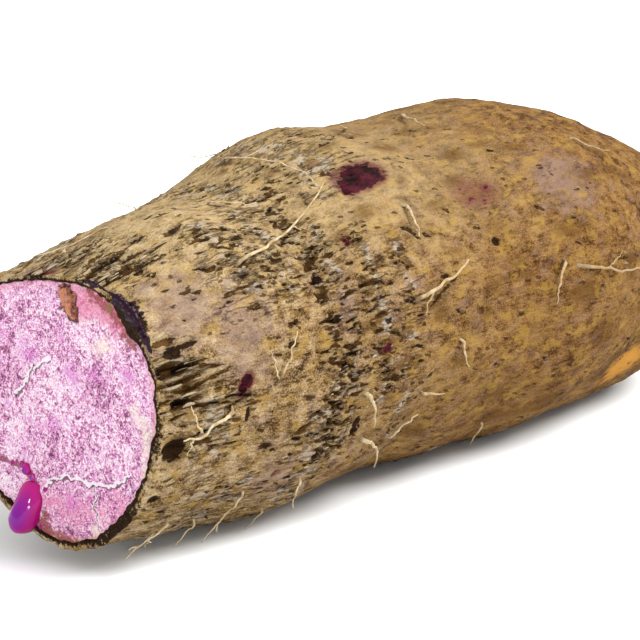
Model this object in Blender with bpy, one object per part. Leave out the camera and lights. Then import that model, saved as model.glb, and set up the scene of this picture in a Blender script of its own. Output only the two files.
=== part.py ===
"""A purple yam: one tuber cut across at one end, its hair roots and a bead of juice.

Blender 4.5, metres, +Z up. X runs along the tuber, from the cut face at -X to the grown
tip at +X. Z = 0 is the surface that it lies on, and the origin is on the flat of its
underside, below mid-length. Angles around the tuber are in degrees: 0 faces -Y, 90 is
the top, 180 faces +Y and -90 is the underside.
"""
import math

import bmesh
import bpy
from mathutils import Vector
from mathutils.bvhtree import BVHTree

MM = 0.001

# Driving dimensions
LENGTH = 290 * MM            # from the cut face to the grown tip
BODY_RADIUS = 48.5 * MM      # half the thickness at the fullest place
TIP_LENGTH = 64 * MM         # the stretch that rounds off to the tip
REST_DEPTH = 1.1 * MM        # how far the underside is flattened by its own weight
CUT_TILT = 0.6               # degrees that the knife leaned back from upright
ROOT_GAP = 0.35 * MM         # clear air between a hair root and the skin
BEAD_GAP = 0.35 * MM         # clear air between the juice and the cut face
BEAD_HEIGHT = 14 * MM        # the bead of juice, top to bottom
BEAD_WIDTH = 9.0 * MM        # across
BEAD_DEPTH = 4.0 * MM        # how far it stands out of the cut face
BEAD_ACROSS = 6.3 * MM       # its place on the cut face, towards +Y
BEAD_UP = 13.4 * MM          # and above the resting surface

RINGS = 60                   # faces along the tuber
SIDES = 56                   # faces around it
OVERCUT = 24 * MM            # how far the body runs on past the knife before it is cut

# The grown shape: station along the length, share of BODY_RADIUS, height of the
# underside above its lowest place and drift of the middle line to +Y
STATIONS = (
    (0.00, 0.72, 6.3 * MM, -1.2 * MM),
    (0.10, 0.81, 3.5 * MM, -1.5 * MM),
    (0.20, 0.885, 0.1 * MM, -1.2 * MM),
    (0.30, 0.96, 3.0 * MM, -2.4 * MM),
    (0.45, 1.00, 0.3 * MM, -0.4 * MM),
    (0.60, 1.00, 0.3 * MM, -4.0 * MM),
    (0.75, 0.935, 0.0 * MM, -1.8 * MM),
    (0.90, 0.815, 0.6 * MM, -2.4 * MM),
    (1.00, 0.77, 1.8 * MM, 0.0 * MM),
)

# Swellings and hollows: station, angle, height, reach along (share of length), reach around
SWELLINGS = (
    (0.10, 50, 8.4 * MM, 0.11, 48),
    (0.26, -48, 0.8 * MM, 0.055, 28),
    (0.345, -42, -2.4 * MM, 0.028, 24),
    (0.34, 112, 1.9 * MM, 0.05, 30),
    (0.62, 95, 3.2 * MM, 0.12, 40),
    (0.46, 196, 2.2 * MM, 0.09, 34),
    (0.24, 205, -1.8 * MM, 0.06, 30),
    (0.74, 168, -2.0 * MM, 0.05, 30),
    (0.86, 40, 1.6 * MM, 0.05, 28),
    (0.90, 215, 2.0 * MM, 0.06, 34),
)

# Hair roots that spring from the skin: station and angle of the base, heading on the skin
# (0 along +X, 90 up and over), length, how high the tip lifts, how far the root curls
# round along its length (degrees) and its thickness at the base
HAIR_ROOTS = (
    (0.103, 44, 13, 46 * MM, 4.0 * MM, 6, 1.1 * MM),
    (0.122, 7, 57, 12 * MM, 2.4 * MM, 36, 1.0 * MM),
    (0.076, 2, 202, 19 * MM, 2.4 * MM, -34, 1.4 * MM),
    (0.298, -36, 92, 11 * MM, 3.4 * MM, -40, 1.7 * MM),
    (0.250, -28, 330, 14 * MM, 3.0 * MM, -70, 1.5 * MM),
    (0.241, -9, 300, 11 * MM, 1.4 * MM, -40, 1.4 * MM),
    (0.305, 12, 10, 23 * MM, 2.6 * MM, 26, 1.5 * MM),
    (0.339, 44, 262, 12 * MM, 1.6 * MM, -36, 1.5 * MM),
    (0.542, 14, 218, 15 * MM, 1.8 * MM, 44, 1.5 * MM),
    (0.373, -4, 276, 8 * MM, 1.6 * MM, 30, 1.2 * MM),
    (0.325, -21, 350, 8 * MM, 2.4 * MM, 30, 1.2 * MM),
    (0.126, -37, 238, 17 * MM, 4.5 * MM, 20, 1.2 * MM),
    (0.189, -35, 262, 9 * MM, 3.0 * MM, 40, 1.1 * MM),
    (0.047, -44, 232, 14 * MM, 4.0 * MM, -44, 1.4 * MM),
    (0.095, -54, 240, 8 * MM, 3.4 * MM, 30, 1.1 * MM),
    (0.177, -53, 262, 7 * MM, 2.4 * MM, -30, 1.0 * MM),
    (0.482, -46, 268, 8 * MM, 2.0 * MM, 20, 1.3 * MM),
    (0.556, 11, 347, 36 * MM, 1.4 * MM, 16, 1.3 * MM),
    (0.167, 78, 300, 13 * MM, 1.2 * MM, 50, 1.1 * MM),
    (0.267, 106, 262, 32 * MM, 1.4 * MM, 20, 1.4 * MM),
    (0.291, 112, 170, 14 * MM, 8.0 * MM, 24, 0.8 * MM),
    (0.146, 101, 120, 8 * MM, 6.5 * MM, 40, 0.8 * MM),
    (0.093, 93, 176, 38 * MM, 7.0 * MM, 10, 0.8 * MM),
    (0.484, 86, 232, 16 * MM, 2.6 * MM, 30, 1.7 * MM),
    (0.394, 86, 220, 12 * MM, 2.2 * MM, -36, 1.1 * MM),
    (0.650, 58, 320, 16 * MM, 2.0 * MM, 40, 1.2 * MM),
    (0.740, 12, 30, 15 * MM, 2.4 * MM, -40, 1.2 * MM),
    (0.820, -18, 10, 12 * MM, 2.6 * MM, 50, 1.2 * MM),
    (0.930, 60, 340, 13 * MM, 4.0 * MM, 36, 1.3 * MM),
    (0.955, 200, 20, 12 * MM, 4.0 * MM, -40, 1.3 * MM),
    (0.800, 120, 200, 16 * MM, 2.4 * MM, 44, 1.2 * MM),
)

# The side that faces away carries hair roots too, spread evenly up and down it
FAR_ROOTS = 11
FAR_FIRST = 0.07             # station of the first one
FAR_LAST = 0.80              # and of the last
FAR_LOW = 142                # lowest and highest angle of their bases
FAR_HIGH = 214
GOLDEN = 0.618               # share of the span from each base to the next

ROOT_POINTS = 8              # points along a hair root
ROOT_TAPER = 0.35            # tip thickness as a share of the base's


def remove_objects():
    """Leave an empty scene."""
    for old in list(bpy.data.objects):
        bpy.data.objects.remove(old, do_unlink=True)


def make_collection(name):
    """A collection in the scene."""
    group = bpy.data.collections.new(name)
    bpy.context.scene.collection.children.link(group)
    return group


def make_material(name, colour, roughness):
    """A plain finish with the piece's colour."""
    material = bpy.data.materials.new(name)
    material.use_nodes = True
    shader = material.node_tree.nodes["Principled BSDF"]
    shader.inputs["Base Color"].default_value = (*colour, 1.0)
    shader.inputs["Roughness"].default_value = roughness
    shader.inputs["Metallic"].default_value = 0.0
    return material


def add_object(name, data, group, material=None):
    """An object for a mesh or curve, with its finish."""
    item = bpy.data.objects.new(name, data)
    if material:
        data.materials.append(material)
    group.objects.link(item)
    return item


def station_value(station, column):
    """A column of STATIONS at any place along the length, on a smooth curve."""
    last = len(STATIONS) - 1
    low = 0
    while low < last - 1 and station > STATIONS[low + 1][0]:
        low += 1

    def slope(index):
        before = STATIONS[max(index - 1, 0)]
        after = STATIONS[min(index + 1, last)]
        return (after[column] - before[column]) / (after[0] - before[0])

    start = STATIONS[low]
    end = STATIONS[low + 1]
    span = end[0] - start[0]
    u = (station - start[0]) / span
    if u < 0:
        return start[column] + slope(low) * (station - start[0])
    rise = u * u * (3 - 2 * u)
    bend_in = span * slope(low) * u * (1 - u) ** 2
    bend_out = span * slope(low + 1) * u * u * (1 - u)
    return start[column] + (end[column] - start[column]) * rise + bend_in - bend_out


def tip_share(station):
    """How much of the thickness is left where the body rounds off to its tip."""
    tip_start = 1 - TIP_LENGTH / LENGTH
    past = min(max((station - tip_start) / (1 - tip_start), 0), 1)
    return math.sqrt(1 - past * past)


def tuber_radius(station, angle):
    """Distance from the middle line to the skin."""
    radius = BODY_RADIUS * station_value(station, 1)
    turn = math.radians(angle)
    near_cut = math.exp(-(station / 0.14) ** 2)
    radius *= 1 + near_cut * (0.06 * math.cos(2 * turn) - 0.04 * math.sin(2 * turn)
                              - 0.03 * math.cos(3 * turn) + 0.04 * math.sin(3 * turn))
    for centre, facing, height, along, around in SWELLINGS:
        off = (angle - facing + 180) % 360 - 180
        radius += height * math.exp(-((station - centre) / along) ** 2 - (off / around) ** 2)
    ripple = math.sin(41 * station + 0.6 * math.cos(turn)) * math.cos(2 * turn + 9 * station)
    return (radius + 0.45 * MM * ripple) * tip_share(station)


def middle_point(station):
    """A point of the middle line."""
    height = station_value(station, 2) - REST_DEPTH + BODY_RADIUS * station_value(station, 1)
    return Vector(((station - 0.5) * LENGTH, station_value(station, 3), height))


def outward(angle):
    """The direction that an angle around the tuber faces."""
    turn = math.radians(angle)
    return Vector((0, -math.cos(turn), math.sin(turn)))


def skin_point(station, angle):
    """A point of the skin, before the knife and the resting surface shape it."""
    return middle_point(station) + outward(angle) * tuber_radius(station, angle)


def boolean_cut(item, cutter):
    """Take one solid away from another."""
    cut = item.modifiers.new(cutter.name, "BOOLEAN")
    cut.operation = "DIFFERENCE"
    cut.solver = "EXACT"
    cut.object = cutter


def make_cutter(name, size, centre, lean, cutters):
    """A block that only cuts."""
    shape = bmesh.new()
    bmesh.ops.create_cube(shape, size=1)
    bmesh.ops.scale(shape, vec=size, verts=shape.verts)
    data = bpy.data.meshes.new(name)
    shape.to_mesh(data)
    shape.free()
    block = add_object(name, data, cutters)
    block.location = centre
    block.rotation_euler = (0, math.radians(lean), 0)
    block.hide_render = True
    block.display_type = "WIRE"
    return block


def make_tuber(group, cutters):
    """The tuber: a ball drawn out to its grown shape, then cut and laid down."""
    first = -OVERCUT / LENGTH
    shape = bmesh.new()
    bmesh.ops.create_uvsphere(shape, u_segments=SIDES, v_segments=RINGS, radius=1)
    for vertex in shape.verts:
        share = math.acos(max(-1, min(1, -vertex.co.z))) / math.pi
        share -= 0.075 * math.sin(2 * math.pi * share)
        station = first + (1 - first) * share
        angle = math.degrees(math.atan2(vertex.co.y, -vertex.co.x))
        if abs(vertex.co.z) > 0.99999:
            vertex.co = middle_point(station)
        else:
            vertex.co = skin_point(station, angle)
    bmesh.ops.recalc_face_normals(shape, faces=shape.faces)
    data = bpy.data.meshes.new("tuber")
    shape.to_mesh(data)
    shape.free()
    data.shade_smooth()
    data.set_sharp_from_angle(angle=math.radians(40))
    skin = make_material("yam skin", (0.36, 0.25, 0.14), 0.85)
    tuber = add_object("tuber", data, group, skin)

    block = 4 * BODY_RADIUS
    knife_x = -LENGTH / 2 - block / 2 * math.cos(math.radians(CUT_TILT))
    knife_z = middle_point(0).z + block / 2 * math.sin(math.radians(CUT_TILT))
    knife = make_cutter("knife", (block, block, block), (knife_x, 0, knife_z), CUT_TILT, cutters)
    boolean_cut(tuber, knife)
    slab = (2 * LENGTH, block, block)
    board = make_cutter("board", slab, (0, 0, -block / 2), 0, cutters)
    boolean_cut(tuber, board)
    return tuber


def skin_finder(tuber):
    """A search tree over the finished tuber."""
    bpy.context.view_layer.update()
    return BVHTree.FromObject(tuber, bpy.context.evaluated_depsgraph_get())


def lift_clear(point, finder, need):
    """Move a point that is outside the tuber away from it until it clears it by a distance."""
    for _ in range(3):
        near, normal, _, distance = finder.find_nearest(point)
        if distance < need:
            away = (point - near) if distance > 0.01 * MM else normal
            point = near + away.normalized() * need
        point.z = max(point.z, need)
    return point


def root_route(base, finder):
    """The middle line of a hair root: it creeps over the skin and its tip lifts off."""
    station, angle, heading, length, lift, curl, thickness = base
    route = []
    step = length / (ROOT_POINTS - 1)
    for index in range(ROOT_POINTS):
        share = index / (ROOT_POINTS - 1)
        need = thickness / 2 + ROOT_GAP
        out = outward(angle)
        point = skin_point(station, angle) + out * (need + lift * share ** 1.6)
        route.append(lift_clear(point, finder, need))
        turn = math.radians(heading + curl * share ** 2)
        station += step * math.cos(turn) / LENGTH
        around = max(tuber_radius(station, angle), 0.2 * BODY_RADIUS)
        angle += math.degrees(step * math.sin(turn) / around)
    return route


def make_hair_root(index, base, finder, material, group):
    """One hair root, a tapering strand beside the skin."""
    name = f"hair_root_{index:02d}"
    curve = bpy.data.curves.new(name, "CURVE")
    curve.dimensions = "3D"
    curve.bevel_depth = base[-1] / 2
    curve.bevel_resolution = 1
    curve.use_fill_caps = True
    strand = curve.splines.new("POLY")
    strand.points.add(ROOT_POINTS - 1)
    for place, point in enumerate(root_route(base, finder)):
        strand.points[place].co = (*point, 1)
        strand.points[place].radius = 1 - (1 - ROOT_TAPER) * place / (ROOT_POINTS - 1)
    return add_object(name, curve, group, material)


def far_roots():
    """Bases of the hair roots on the side that faces away."""
    bases = []
    for index in range(FAR_ROOTS):
        share = index / (FAR_ROOTS - 1)
        station = FAR_FIRST + (FAR_LAST - FAR_FIRST) * share
        angle = FAR_LOW + (FAR_HIGH - FAR_LOW) * (index * GOLDEN % 1)
        heading = 360 * (index * GOLDEN * GOLDEN % 1)
        length = (9 + 3 * (index % 4)) * MM
        bases.append((station, angle, heading, length, 2.4 * MM, 40 - 80 * (index % 2), 1.2 * MM))
    return bases


def make_juice_bead(group):
    """The bead of juice: half of a drawn-out ball, flat towards the cut face."""
    shape = bmesh.new()
    bmesh.ops.create_uvsphere(shape, u_segments=20, v_segments=14, radius=1)
    everything = shape.verts[:] + shape.edges[:] + shape.faces[:]
    cut = bmesh.ops.bisect_plane(shape, geom=everything, plane_co=(0, 0, 0),
                                 plane_no=(1, 0, 0), clear_outer=True)
    rim = [part for part in cut["geom_cut"] if isinstance(part, bmesh.types.BMEdge)]
    bmesh.ops.contextual_create(shape, geom=rim)
    for vertex in shape.verts:
        below = 1 - 0.22 * vertex.co.z
        vertex.co.y *= BEAD_WIDTH / 2 * below
        vertex.co.x *= BEAD_DEPTH * below
        vertex.co.z *= BEAD_HEIGHT / 2
    bmesh.ops.recalc_face_normals(shape, faces=shape.faces)
    data = bpy.data.meshes.new("juice_bead")
    shape.to_mesh(data)
    shape.free()
    data.shade_smooth()
    data.set_sharp_from_angle(angle=math.radians(40))
    bead = add_object("juice_bead", data, group, make_material("juice", (0.30, 0.01, 0.13), 0.08))
    lean = math.radians(CUT_TILT)
    below_middle = middle_point(0).z - BEAD_UP
    face_x = -LENGTH / 2 - below_middle * math.tan(lean)
    bead.location = (face_x - BEAD_GAP / math.cos(lean), BEAD_ACROSS, BEAD_UP)
    bead.rotation_euler = (0, lean, 0)
    return bead


def main():
    """Build the yam."""
    remove_objects()
    group = make_collection("purple_yam")
    cutters = make_collection("cutters")
    tuber = make_tuber(group, cutters)
    finder = skin_finder(tuber)
    root_material = make_material("hair root", (0.62, 0.48, 0.27), 0.7)
    for index, base in enumerate(list(HAIR_ROOTS) + far_roots(), start=1):
        make_hair_root(index, base, finder, root_material, group)
    make_juice_bead(group)


main()
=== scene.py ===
"""Looks of the purple yam: cork bark with its fissures and wounds, the wet cut face, the
bead of juice and the dried hair roots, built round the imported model. Metres, +Z up.

X runs along the tuber from the cut face to the grown tip. Angles round it are in degrees:
0 faces -Y, 90 is the top, 180 faces +Y and -90 is the underside. A station is a share of
the length, 0 at the cut and 1 at the tip.
"""

import math

import bmesh
import bpy
import numpy as np
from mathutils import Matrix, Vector, noise


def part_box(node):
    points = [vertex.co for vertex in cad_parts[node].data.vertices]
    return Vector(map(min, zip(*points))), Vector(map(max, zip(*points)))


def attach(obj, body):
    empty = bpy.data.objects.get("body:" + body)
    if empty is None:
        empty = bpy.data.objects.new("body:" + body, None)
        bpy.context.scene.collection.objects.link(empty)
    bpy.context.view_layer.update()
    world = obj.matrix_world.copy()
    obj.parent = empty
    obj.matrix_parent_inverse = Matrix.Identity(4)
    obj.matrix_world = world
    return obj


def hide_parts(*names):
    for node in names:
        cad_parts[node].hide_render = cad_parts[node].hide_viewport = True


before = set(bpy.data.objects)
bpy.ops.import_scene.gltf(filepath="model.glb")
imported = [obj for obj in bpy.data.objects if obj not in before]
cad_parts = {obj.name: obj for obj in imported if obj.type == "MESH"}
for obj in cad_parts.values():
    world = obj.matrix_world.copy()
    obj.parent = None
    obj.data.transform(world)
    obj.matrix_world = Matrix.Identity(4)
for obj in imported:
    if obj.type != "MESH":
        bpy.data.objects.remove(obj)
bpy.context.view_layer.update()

bl_info = {
    "name": "Purple Yam",
    "version": (1, 0, 0),
    "blender": (4, 5, 0),
    "location": "View3D > Sidebar > Yam",
    "description": "Builds a cut purple yam with bark, flesh, juice and hair roots",
    "category": "Add Mesh",
}

MM = 0.001
STAGE_BRIGHTNESS = 2.1       # the stage is lit until white board burns out
CUT_BRIGHTNESS = 1.62        # the same for the cut face, which gets no key light
SEED = 20                    # of the random draws, so every build comes out the same

# The tuber's grown shape, as in the model
TIP_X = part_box("tuber")[1].x
LENGTH = 2 * TIP_X           # from the cut face to the grown tip
BODY_RADIUS = 48.5 * MM      # half the thickness at the fullest place
TIP_LENGTH = 64 * MM         # the stretch that rounds off to the tip
REST_DEPTH = 1.1 * MM        # how far the underside is flattened by its own weight
CUT_LEAN = math.tan(math.radians(0.6))
# Station, share of BODY_RADIUS, height of the underside, drift of the middle line to +Y
STATIONS = np.array((
    (0.00, 0.72, 6.3 * MM, -1.2 * MM),
    (0.10, 0.81, 3.5 * MM, -1.5 * MM),
    (0.20, 0.885, 0.1 * MM, -1.2 * MM),
    (0.30, 0.96, 3.0 * MM, -2.4 * MM),
    (0.45, 1.00, 0.3 * MM, -0.4 * MM),
    (0.60, 1.00, 0.3 * MM, -4.0 * MM),
    (0.75, 0.935, 0.0 * MM, -1.8 * MM),
    (0.90, 0.815, 0.6 * MM, -2.4 * MM),
    (1.00, 0.77, 1.8 * MM, 0.0 * MM),
))
CUT_MIDDLE = Vector((-TIP_X, STATIONS[0, 3], STATIONS[0, 2] - REST_DEPTH + BODY_RADIUS * STATIONS[0, 1]))
# Swellings and hollows: station, angle, height, reach along (share of length), reach around
SWELLINGS = (
    (0.10, 50, 8.4 * MM, 0.11, 48),
    (0.26, -48, 0.8 * MM, 0.055, 28),
    (0.345, -42, -2.4 * MM, 0.028, 24),
    (0.34, 112, 1.9 * MM, 0.05, 30),
    (0.62, 95, 3.2 * MM, 0.12, 40),
    (0.46, 196, 2.2 * MM, 0.09, 34),
    (0.24, 205, -1.8 * MM, 0.06, 30),
    (0.74, 168, -2.0 * MM, 0.05, 30),
    (0.86, 40, 1.6 * MM, 0.05, 28),
    (0.90, 215, 2.0 * MM, 0.06, 34),
)

# Hair roots, as in the model: station and angle of the base, heading on the skin, length,
# lift of the tip, curl in degrees, thickness
HAIR_ROOTS = (
    (0.103, 44, 13, 46 * MM, 4.0 * MM, 6, 1.1 * MM),
    (0.122, 7, 57, 12 * MM, 2.4 * MM, 36, 1.0 * MM),
    (0.076, 2, 202, 19 * MM, 2.4 * MM, -34, 1.4 * MM),
    (0.298, -36, 92, 11 * MM, 3.4 * MM, -40, 1.7 * MM),
    (0.250, -28, 330, 14 * MM, 3.0 * MM, -70, 1.5 * MM),
    (0.241, -9, 300, 11 * MM, 1.4 * MM, -40, 1.4 * MM),
    (0.305, 12, 10, 23 * MM, 2.6 * MM, 26, 1.5 * MM),
    (0.339, 44, 262, 12 * MM, 1.6 * MM, -36, 1.5 * MM),
    (0.542, 14, 218, 15 * MM, 1.8 * MM, 44, 1.5 * MM),
    (0.373, -4, 276, 8 * MM, 1.6 * MM, 30, 1.2 * MM),
    (0.325, -21, 350, 8 * MM, 2.4 * MM, 30, 1.2 * MM),
    (0.126, -37, 238, 17 * MM, 4.5 * MM, 20, 1.2 * MM),
    (0.189, -35, 262, 9 * MM, 3.0 * MM, 40, 1.1 * MM),
    (0.047, -44, 232, 14 * MM, 4.0 * MM, -44, 1.4 * MM),
    (0.095, -54, 240, 8 * MM, 3.4 * MM, 30, 1.1 * MM),
    (0.177, -53, 262, 7 * MM, 2.4 * MM, -30, 1.0 * MM),
    (0.482, -46, 268, 8 * MM, 2.0 * MM, 20, 1.3 * MM),
    (0.556, 11, 347, 36 * MM, 1.4 * MM, 16, 1.3 * MM),
    (0.167, 78, 300, 13 * MM, 1.2 * MM, 50, 1.1 * MM),
    (0.267, 106, 262, 32 * MM, 1.4 * MM, 20, 1.4 * MM),
    (0.291, 112, 170, 14 * MM, 8.0 * MM, 24, 0.8 * MM),
    (0.146, 101, 120, 8 * MM, 6.5 * MM, 40, 0.8 * MM),
    (0.093, 93, 176, 38 * MM, 7.0 * MM, 10, 0.8 * MM),
    (0.484, 86, 232, 16 * MM, 2.6 * MM, 30, 1.7 * MM),
    (0.394, 86, 220, 12 * MM, 2.2 * MM, -36, 1.1 * MM),
    (0.650, 58, 320, 16 * MM, 2.0 * MM, 40, 1.2 * MM),
    (0.740, 12, 30, 15 * MM, 2.4 * MM, -40, 1.2 * MM),
    (0.820, -18, 10, 12 * MM, 2.6 * MM, 50, 1.2 * MM),
    (0.930, 60, 340, 13 * MM, 4.0 * MM, 36, 1.3 * MM),
    (0.955, 200, 20, 12 * MM, 4.0 * MM, -40, 1.3 * MM),
    (0.800, 120, 200, 16 * MM, 2.4 * MM, 44, 1.2 * MM),
)
FAR_ROOTS = 11               # hair roots on the side that faces away, as in the model
FAR_FIRST = 0.07             # station of the first one
FAR_LAST = 0.80              # and of the last
FAR_LOW = 142                # lowest and highest angle of their bases
FAR_HIGH = 214
GOLDEN = 0.618               # share of the span from each base to the next
ROOT_TAPER = 0.35            # tip thickness as a share of the base's

# Side rootlets: the root they leave, where along it, turn of their heading, length
SIDE_ROOTLETS = (
    (0, 0.62, -70, 4 * MM),
    (0, 0.97, 66, 11 * MM),
    (0, 0.94, 120, 6 * MM),
    (1, 0.0, 60, 9 * MM),
    (2, 0.62, -62, 9 * MM),
    (2, 0.80, 60, 4 * MM),
    (6, 0.30, -150, 8 * MM),
    (11, 0.60, 50, 5 * MM),
    (13, 0.35, 60, 8 * MM),
    (13, 0.70, -50, 6 * MM),
    (17, 0.40, 40, 8 * MM),
    (19, 0.30, 60, 7 * MM),
    (22, 0.45, 40, 7 * MM),
)

# Bands of fissures in the bark: station, its spread, lowest and highest angle, how many,
# usual length, width and depth
FISSURE_BANDS = (
    (0.206, 0.007, -34, 64, 120, 3.4 * MM, 1.05 * MM, 0.75 * MM),
    (0.226, 0.008, -30, 50, 70, 3.0 * MM, 1.0 * MM, 0.6 * MM),
    (0.262, 0.010, -16, 42, 60, 3.0 * MM, 0.9 * MM, 0.5 * MM),
    (0.300, 0.012, -36, 30, 34, 2.8 * MM, 0.9 * MM, 0.45 * MM),
    (0.112, 0.026, 34, 62, 60, 3.4 * MM, 0.7 * MM, 0.5 * MM),
    (0.165, 0.020, 34, 66, 40, 3.6 * MM, 0.8 * MM, 0.45 * MM),
    (0.022, 0.012, 6, 24, 20, 8.0 * MM, 1.3 * MM, 1.0 * MM),
    (0.050, 0.030, -14, 8, 18, 5.0 * MM, 0.8 * MM, 0.5 * MM),
    (0.030, 0.022, 58, 104, 80, 6.5 * MM, 0.8 * MM, 0.6 * MM),
    (0.090, 0.060, -72, -30, 50, 3.2 * MM, 0.8 * MM, 0.4 * MM),
    (0.190, 0.030, -60, -10, 40, 2.6 * MM, 0.9 * MM, 0.45 * MM),
    (0.290, 0.040, 60, 110, 34, 3.6 * MM, 0.8 * MM, 0.4 * MM),
    (0.060, 0.050, 110, 270, 170, 5.0 * MM, 0.9 * MM, 0.45 * MM),
    (0.205, 0.018, 64, 285, 200, 3.4 * MM, 1.1 * MM, 0.6 * MM),
    (0.300, 0.018, 115, 290, 110, 3.2 * MM, 1.0 * MM, 0.5 * MM),
    (0.440, 0.020, 120, 300, 90, 3.0 * MM, 1.0 * MM, 0.4 * MM),
    (0.560, 0.022, 120, 300, 70, 3.0 * MM, 1.0 * MM, 0.4 * MM),
)
SCATTERED_FISSURES = 520     # and how many more are spread over the rest of the bark

# Single long splits: station, angle, length, width, depth, heading in degrees
LONG_SPLITS = (
    (0.100, 37.0, 15 * MM, 0.9 * MM, 0.7 * MM, 8),
    (0.122, 44.0, 14 * MM, 0.9 * MM, 0.7 * MM, 2),
    (0.078, 47.0, 7 * MM, 1.0 * MM, 0.6 * MM, -30),
    (0.050, 14.0, 15 * MM, 1.3 * MM, 0.9 * MM, 10),
    (0.060, -3.0, 10 * MM, 0.8 * MM, 0.5 * MM, 12),
    (0.083, 4.0, 9 * MM, 0.8 * MM, 0.5 * MM, 14),
    (0.030, 60.0, 14 * MM, 1.3 * MM, 0.8 * MM, -4),
    (0.050, 72.0, 16 * MM, 1.2 * MM, 0.8 * MM, 2),
    (0.150, 8.0, 7 * MM, 1.0 * MM, 0.5 * MM, 40),
    (0.200, -20.0, 8 * MM, 1.0 * MM, 0.5 * MM, 6),
    (0.350, 12.0, 17 * MM, 1.2 * MM, 0.8 * MM, 24),
    (0.330, 34.0, 7 * MM, 1.6 * MM, 0.7 * MM, -40),
)

# Where the cut edge is torn and dark for more than its thickness: angle, spread, how much more
TORN_RIM = ((-45, 24, 0.9), (-8, 26, 0.4), (39, 10, 1.6), (150, 30, 0.6), (245, 20, 0.8))

# Stained bark behind the cut edge, with painted shadow at 44 degrees in the wedge beside the sap crust:
# angle, spread, how far back as a share of the length, strength
DARK_RIM = (
    # Painted shadow: the dark wedge between the flesh and the sap crust
    (44, 13, 0.010, 1.2),
    (-48, 24, 0.0030, 1.0),
    (96, 8, 0.010, 0.9),
    (68, 10, 0.005, 0.7),
    (0, 20, 0.004, 0.7),
)

# Soft brown shading further along: how many, and its first and last station
SHADES = 560
SHADE_FIRST = 0.24
SHADE_LAST = 0.98

# Unevenness of the whole skin: height, size of the lumps, shift of the draw
SKIN_LUMPS = ((0.45 * MM, 16 * MM, 0.0), (0.30 * MM, 5 * MM, 3.0), (0.12 * MM, 1.8 * MM, 9.0))

# Deep dark pits and notches: station, angle, length, width, depth
PITS = (
    (0.020, 26.0, 6.0 * MM, 3.4 * MM, 1.8 * MM),
    (0.034, 27.0, 7.0 * MM, 1.6 * MM, 1.0 * MM),
    (0.019, -9.0, 8.0 * MM, 7.0 * MM, 2.4 * MM),
    (0.020, 9.0, 6.0 * MM, 2.4 * MM, 1.2 * MM),
    (0.092, -2.0, 1.6 * MM, 5.0 * MM, 0.8 * MM),
    (0.012, -30.0, 4.0 * MM, 3.0 * MM, 1.0 * MM),
    (0.212, 20.0, 4.0 * MM, 2.6 * MM, 1.2 * MM),
    (0.204, 34.0, 4.0 * MM, 2.6 * MM, 1.2 * MM),
    (0.216, 3.0, 4.0 * MM, 3.0 * MM, 1.2 * MM),
    (0.240, -22.0, 3.6 * MM, 7.0 * MM, 1.2 * MM),
    (0.451, 24.5, 3.6 * MM, 3.0 * MM, 0.9 * MM),
)

# Bare purple wounds: station, angle, half length, half width, darkness
WOUNDS = (
    (0.322, 58.6, 7.6 * MM, 4.2 * MM, 1.0),
    (0.297, 58.0, 5.0 * MM, 4.2 * MM, 0.62),
    (0.008, 97.0, 3.0 * MM, 5.0 * MM, 0.60),
    (0.088, 10.0, 1.7 * MM, 1.9 * MM, 0.8),
    (0.083, 7.0, 1.5 * MM, 2.0 * MM, 0.75),
    (0.455, 42.0, 10.0 * MM, 5.5 * MM, 0.30),
    (0.474, 43.0, 3.0 * MM, 2.4 * MM, 0.40),
    (0.253, 40.5, 1.4 * MM, 1.2 * MM, 0.5),
    (0.265, 2.0, 1.8 * MM, 1.4 * MM, 0.5),
    (0.152, -30.0, 1.6 * MM, 1.2 * MM, 0.4),
    (0.620, 150.0, 5.0 * MM, 3.0 * MM, 0.6),
    (0.240, 190.0, 2.4 * MM, 2.0 * MM, 0.7),
)

# Patches of colour on the bark: station, angle, reach along (share of length), reach around
# (degrees) and strength. Bloom is grey-mauve, and the bark is bare and orange where its outer
# layer has come off. Brown patches are weathered darker, except the long one along the
# underside of the far half, which is painted shade.
BLOOM = (
    (0.045, 40.0, 0.035, 15, 1.0),
    (0.085, 26.0, 0.035, 16, 0.9),
    (0.120, 30.0, 0.020, 12, 0.6),
    (0.225, 24.0, 0.014, 14, 0.9),
    (0.150, -34.0, 0.040, 12, 0.8),
    (0.587, 41.0, 0.060, 14, 0.9),
    (0.300, 14.0, 0.040, 12, 0.5),
    (0.120, 160.0, 0.060, 30, 0.8),
    (0.420, 200.0, 0.070, 30, 0.7),
    (0.720, 120.0, 0.070, 30, 0.7),
)
BROWN_PATCHES = (
    (0.026, 15.0, 0.024, 16, 0.85),
    (0.020, -9.0, 0.016, 9, 0.8),
    (0.030, -34.0, 0.020, 12, 0.4),
    (0.115, 40.0, 0.012, 7, 0.45),
    (0.190, 62.0, 0.030, 14, 0.35),
    (0.560, 20.0, 0.040, 14, 0.35),
    (0.640, -8.0, 0.050, 12, 0.45),
    (0.470, -26.0, 0.030, 12, 0.35),
    (0.760, 28.0, 0.030, 12, 0.4),
    # Painted shade: the underside of the far half made darker, where less light reaches it
    (0.560, -62.0, 0.120, 16, 0.5),
    (0.700, 66.0, 0.030, 10, 0.4),
    (0.610, 46.0, 0.016, 8, 0.5),
    (0.520, 2.0, 0.020, 9, 0.4),
)
BARE_PATCHES = (
    (0.722, -38.0, 0.044, 10, 1.7),
    (0.860, 230.0, 0.030, 12, 0.6),
)


def linear(code, light=1.0):
    """An sRGB hex colour, as it looks under a light of some brightness, in linear values."""
    parts = [int(code[at:at + 2], 16) / 255 for at in (0, 2, 4)]
    return tuple((p / 12.92 if p <= 0.04045 else ((p + 0.055) / 1.055) ** 2.4) / light for p in parts)


def seen_on_cut(code):
    """The colour of the cut face, which is turned away from the key light."""
    return linear(code, CUT_BRIGHTNESS)


def seen(code):
    """An sRGB hex colour, as it looks on the bright stage, in linear values."""
    return linear(code, STAGE_BRIGHTNESS)


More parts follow.
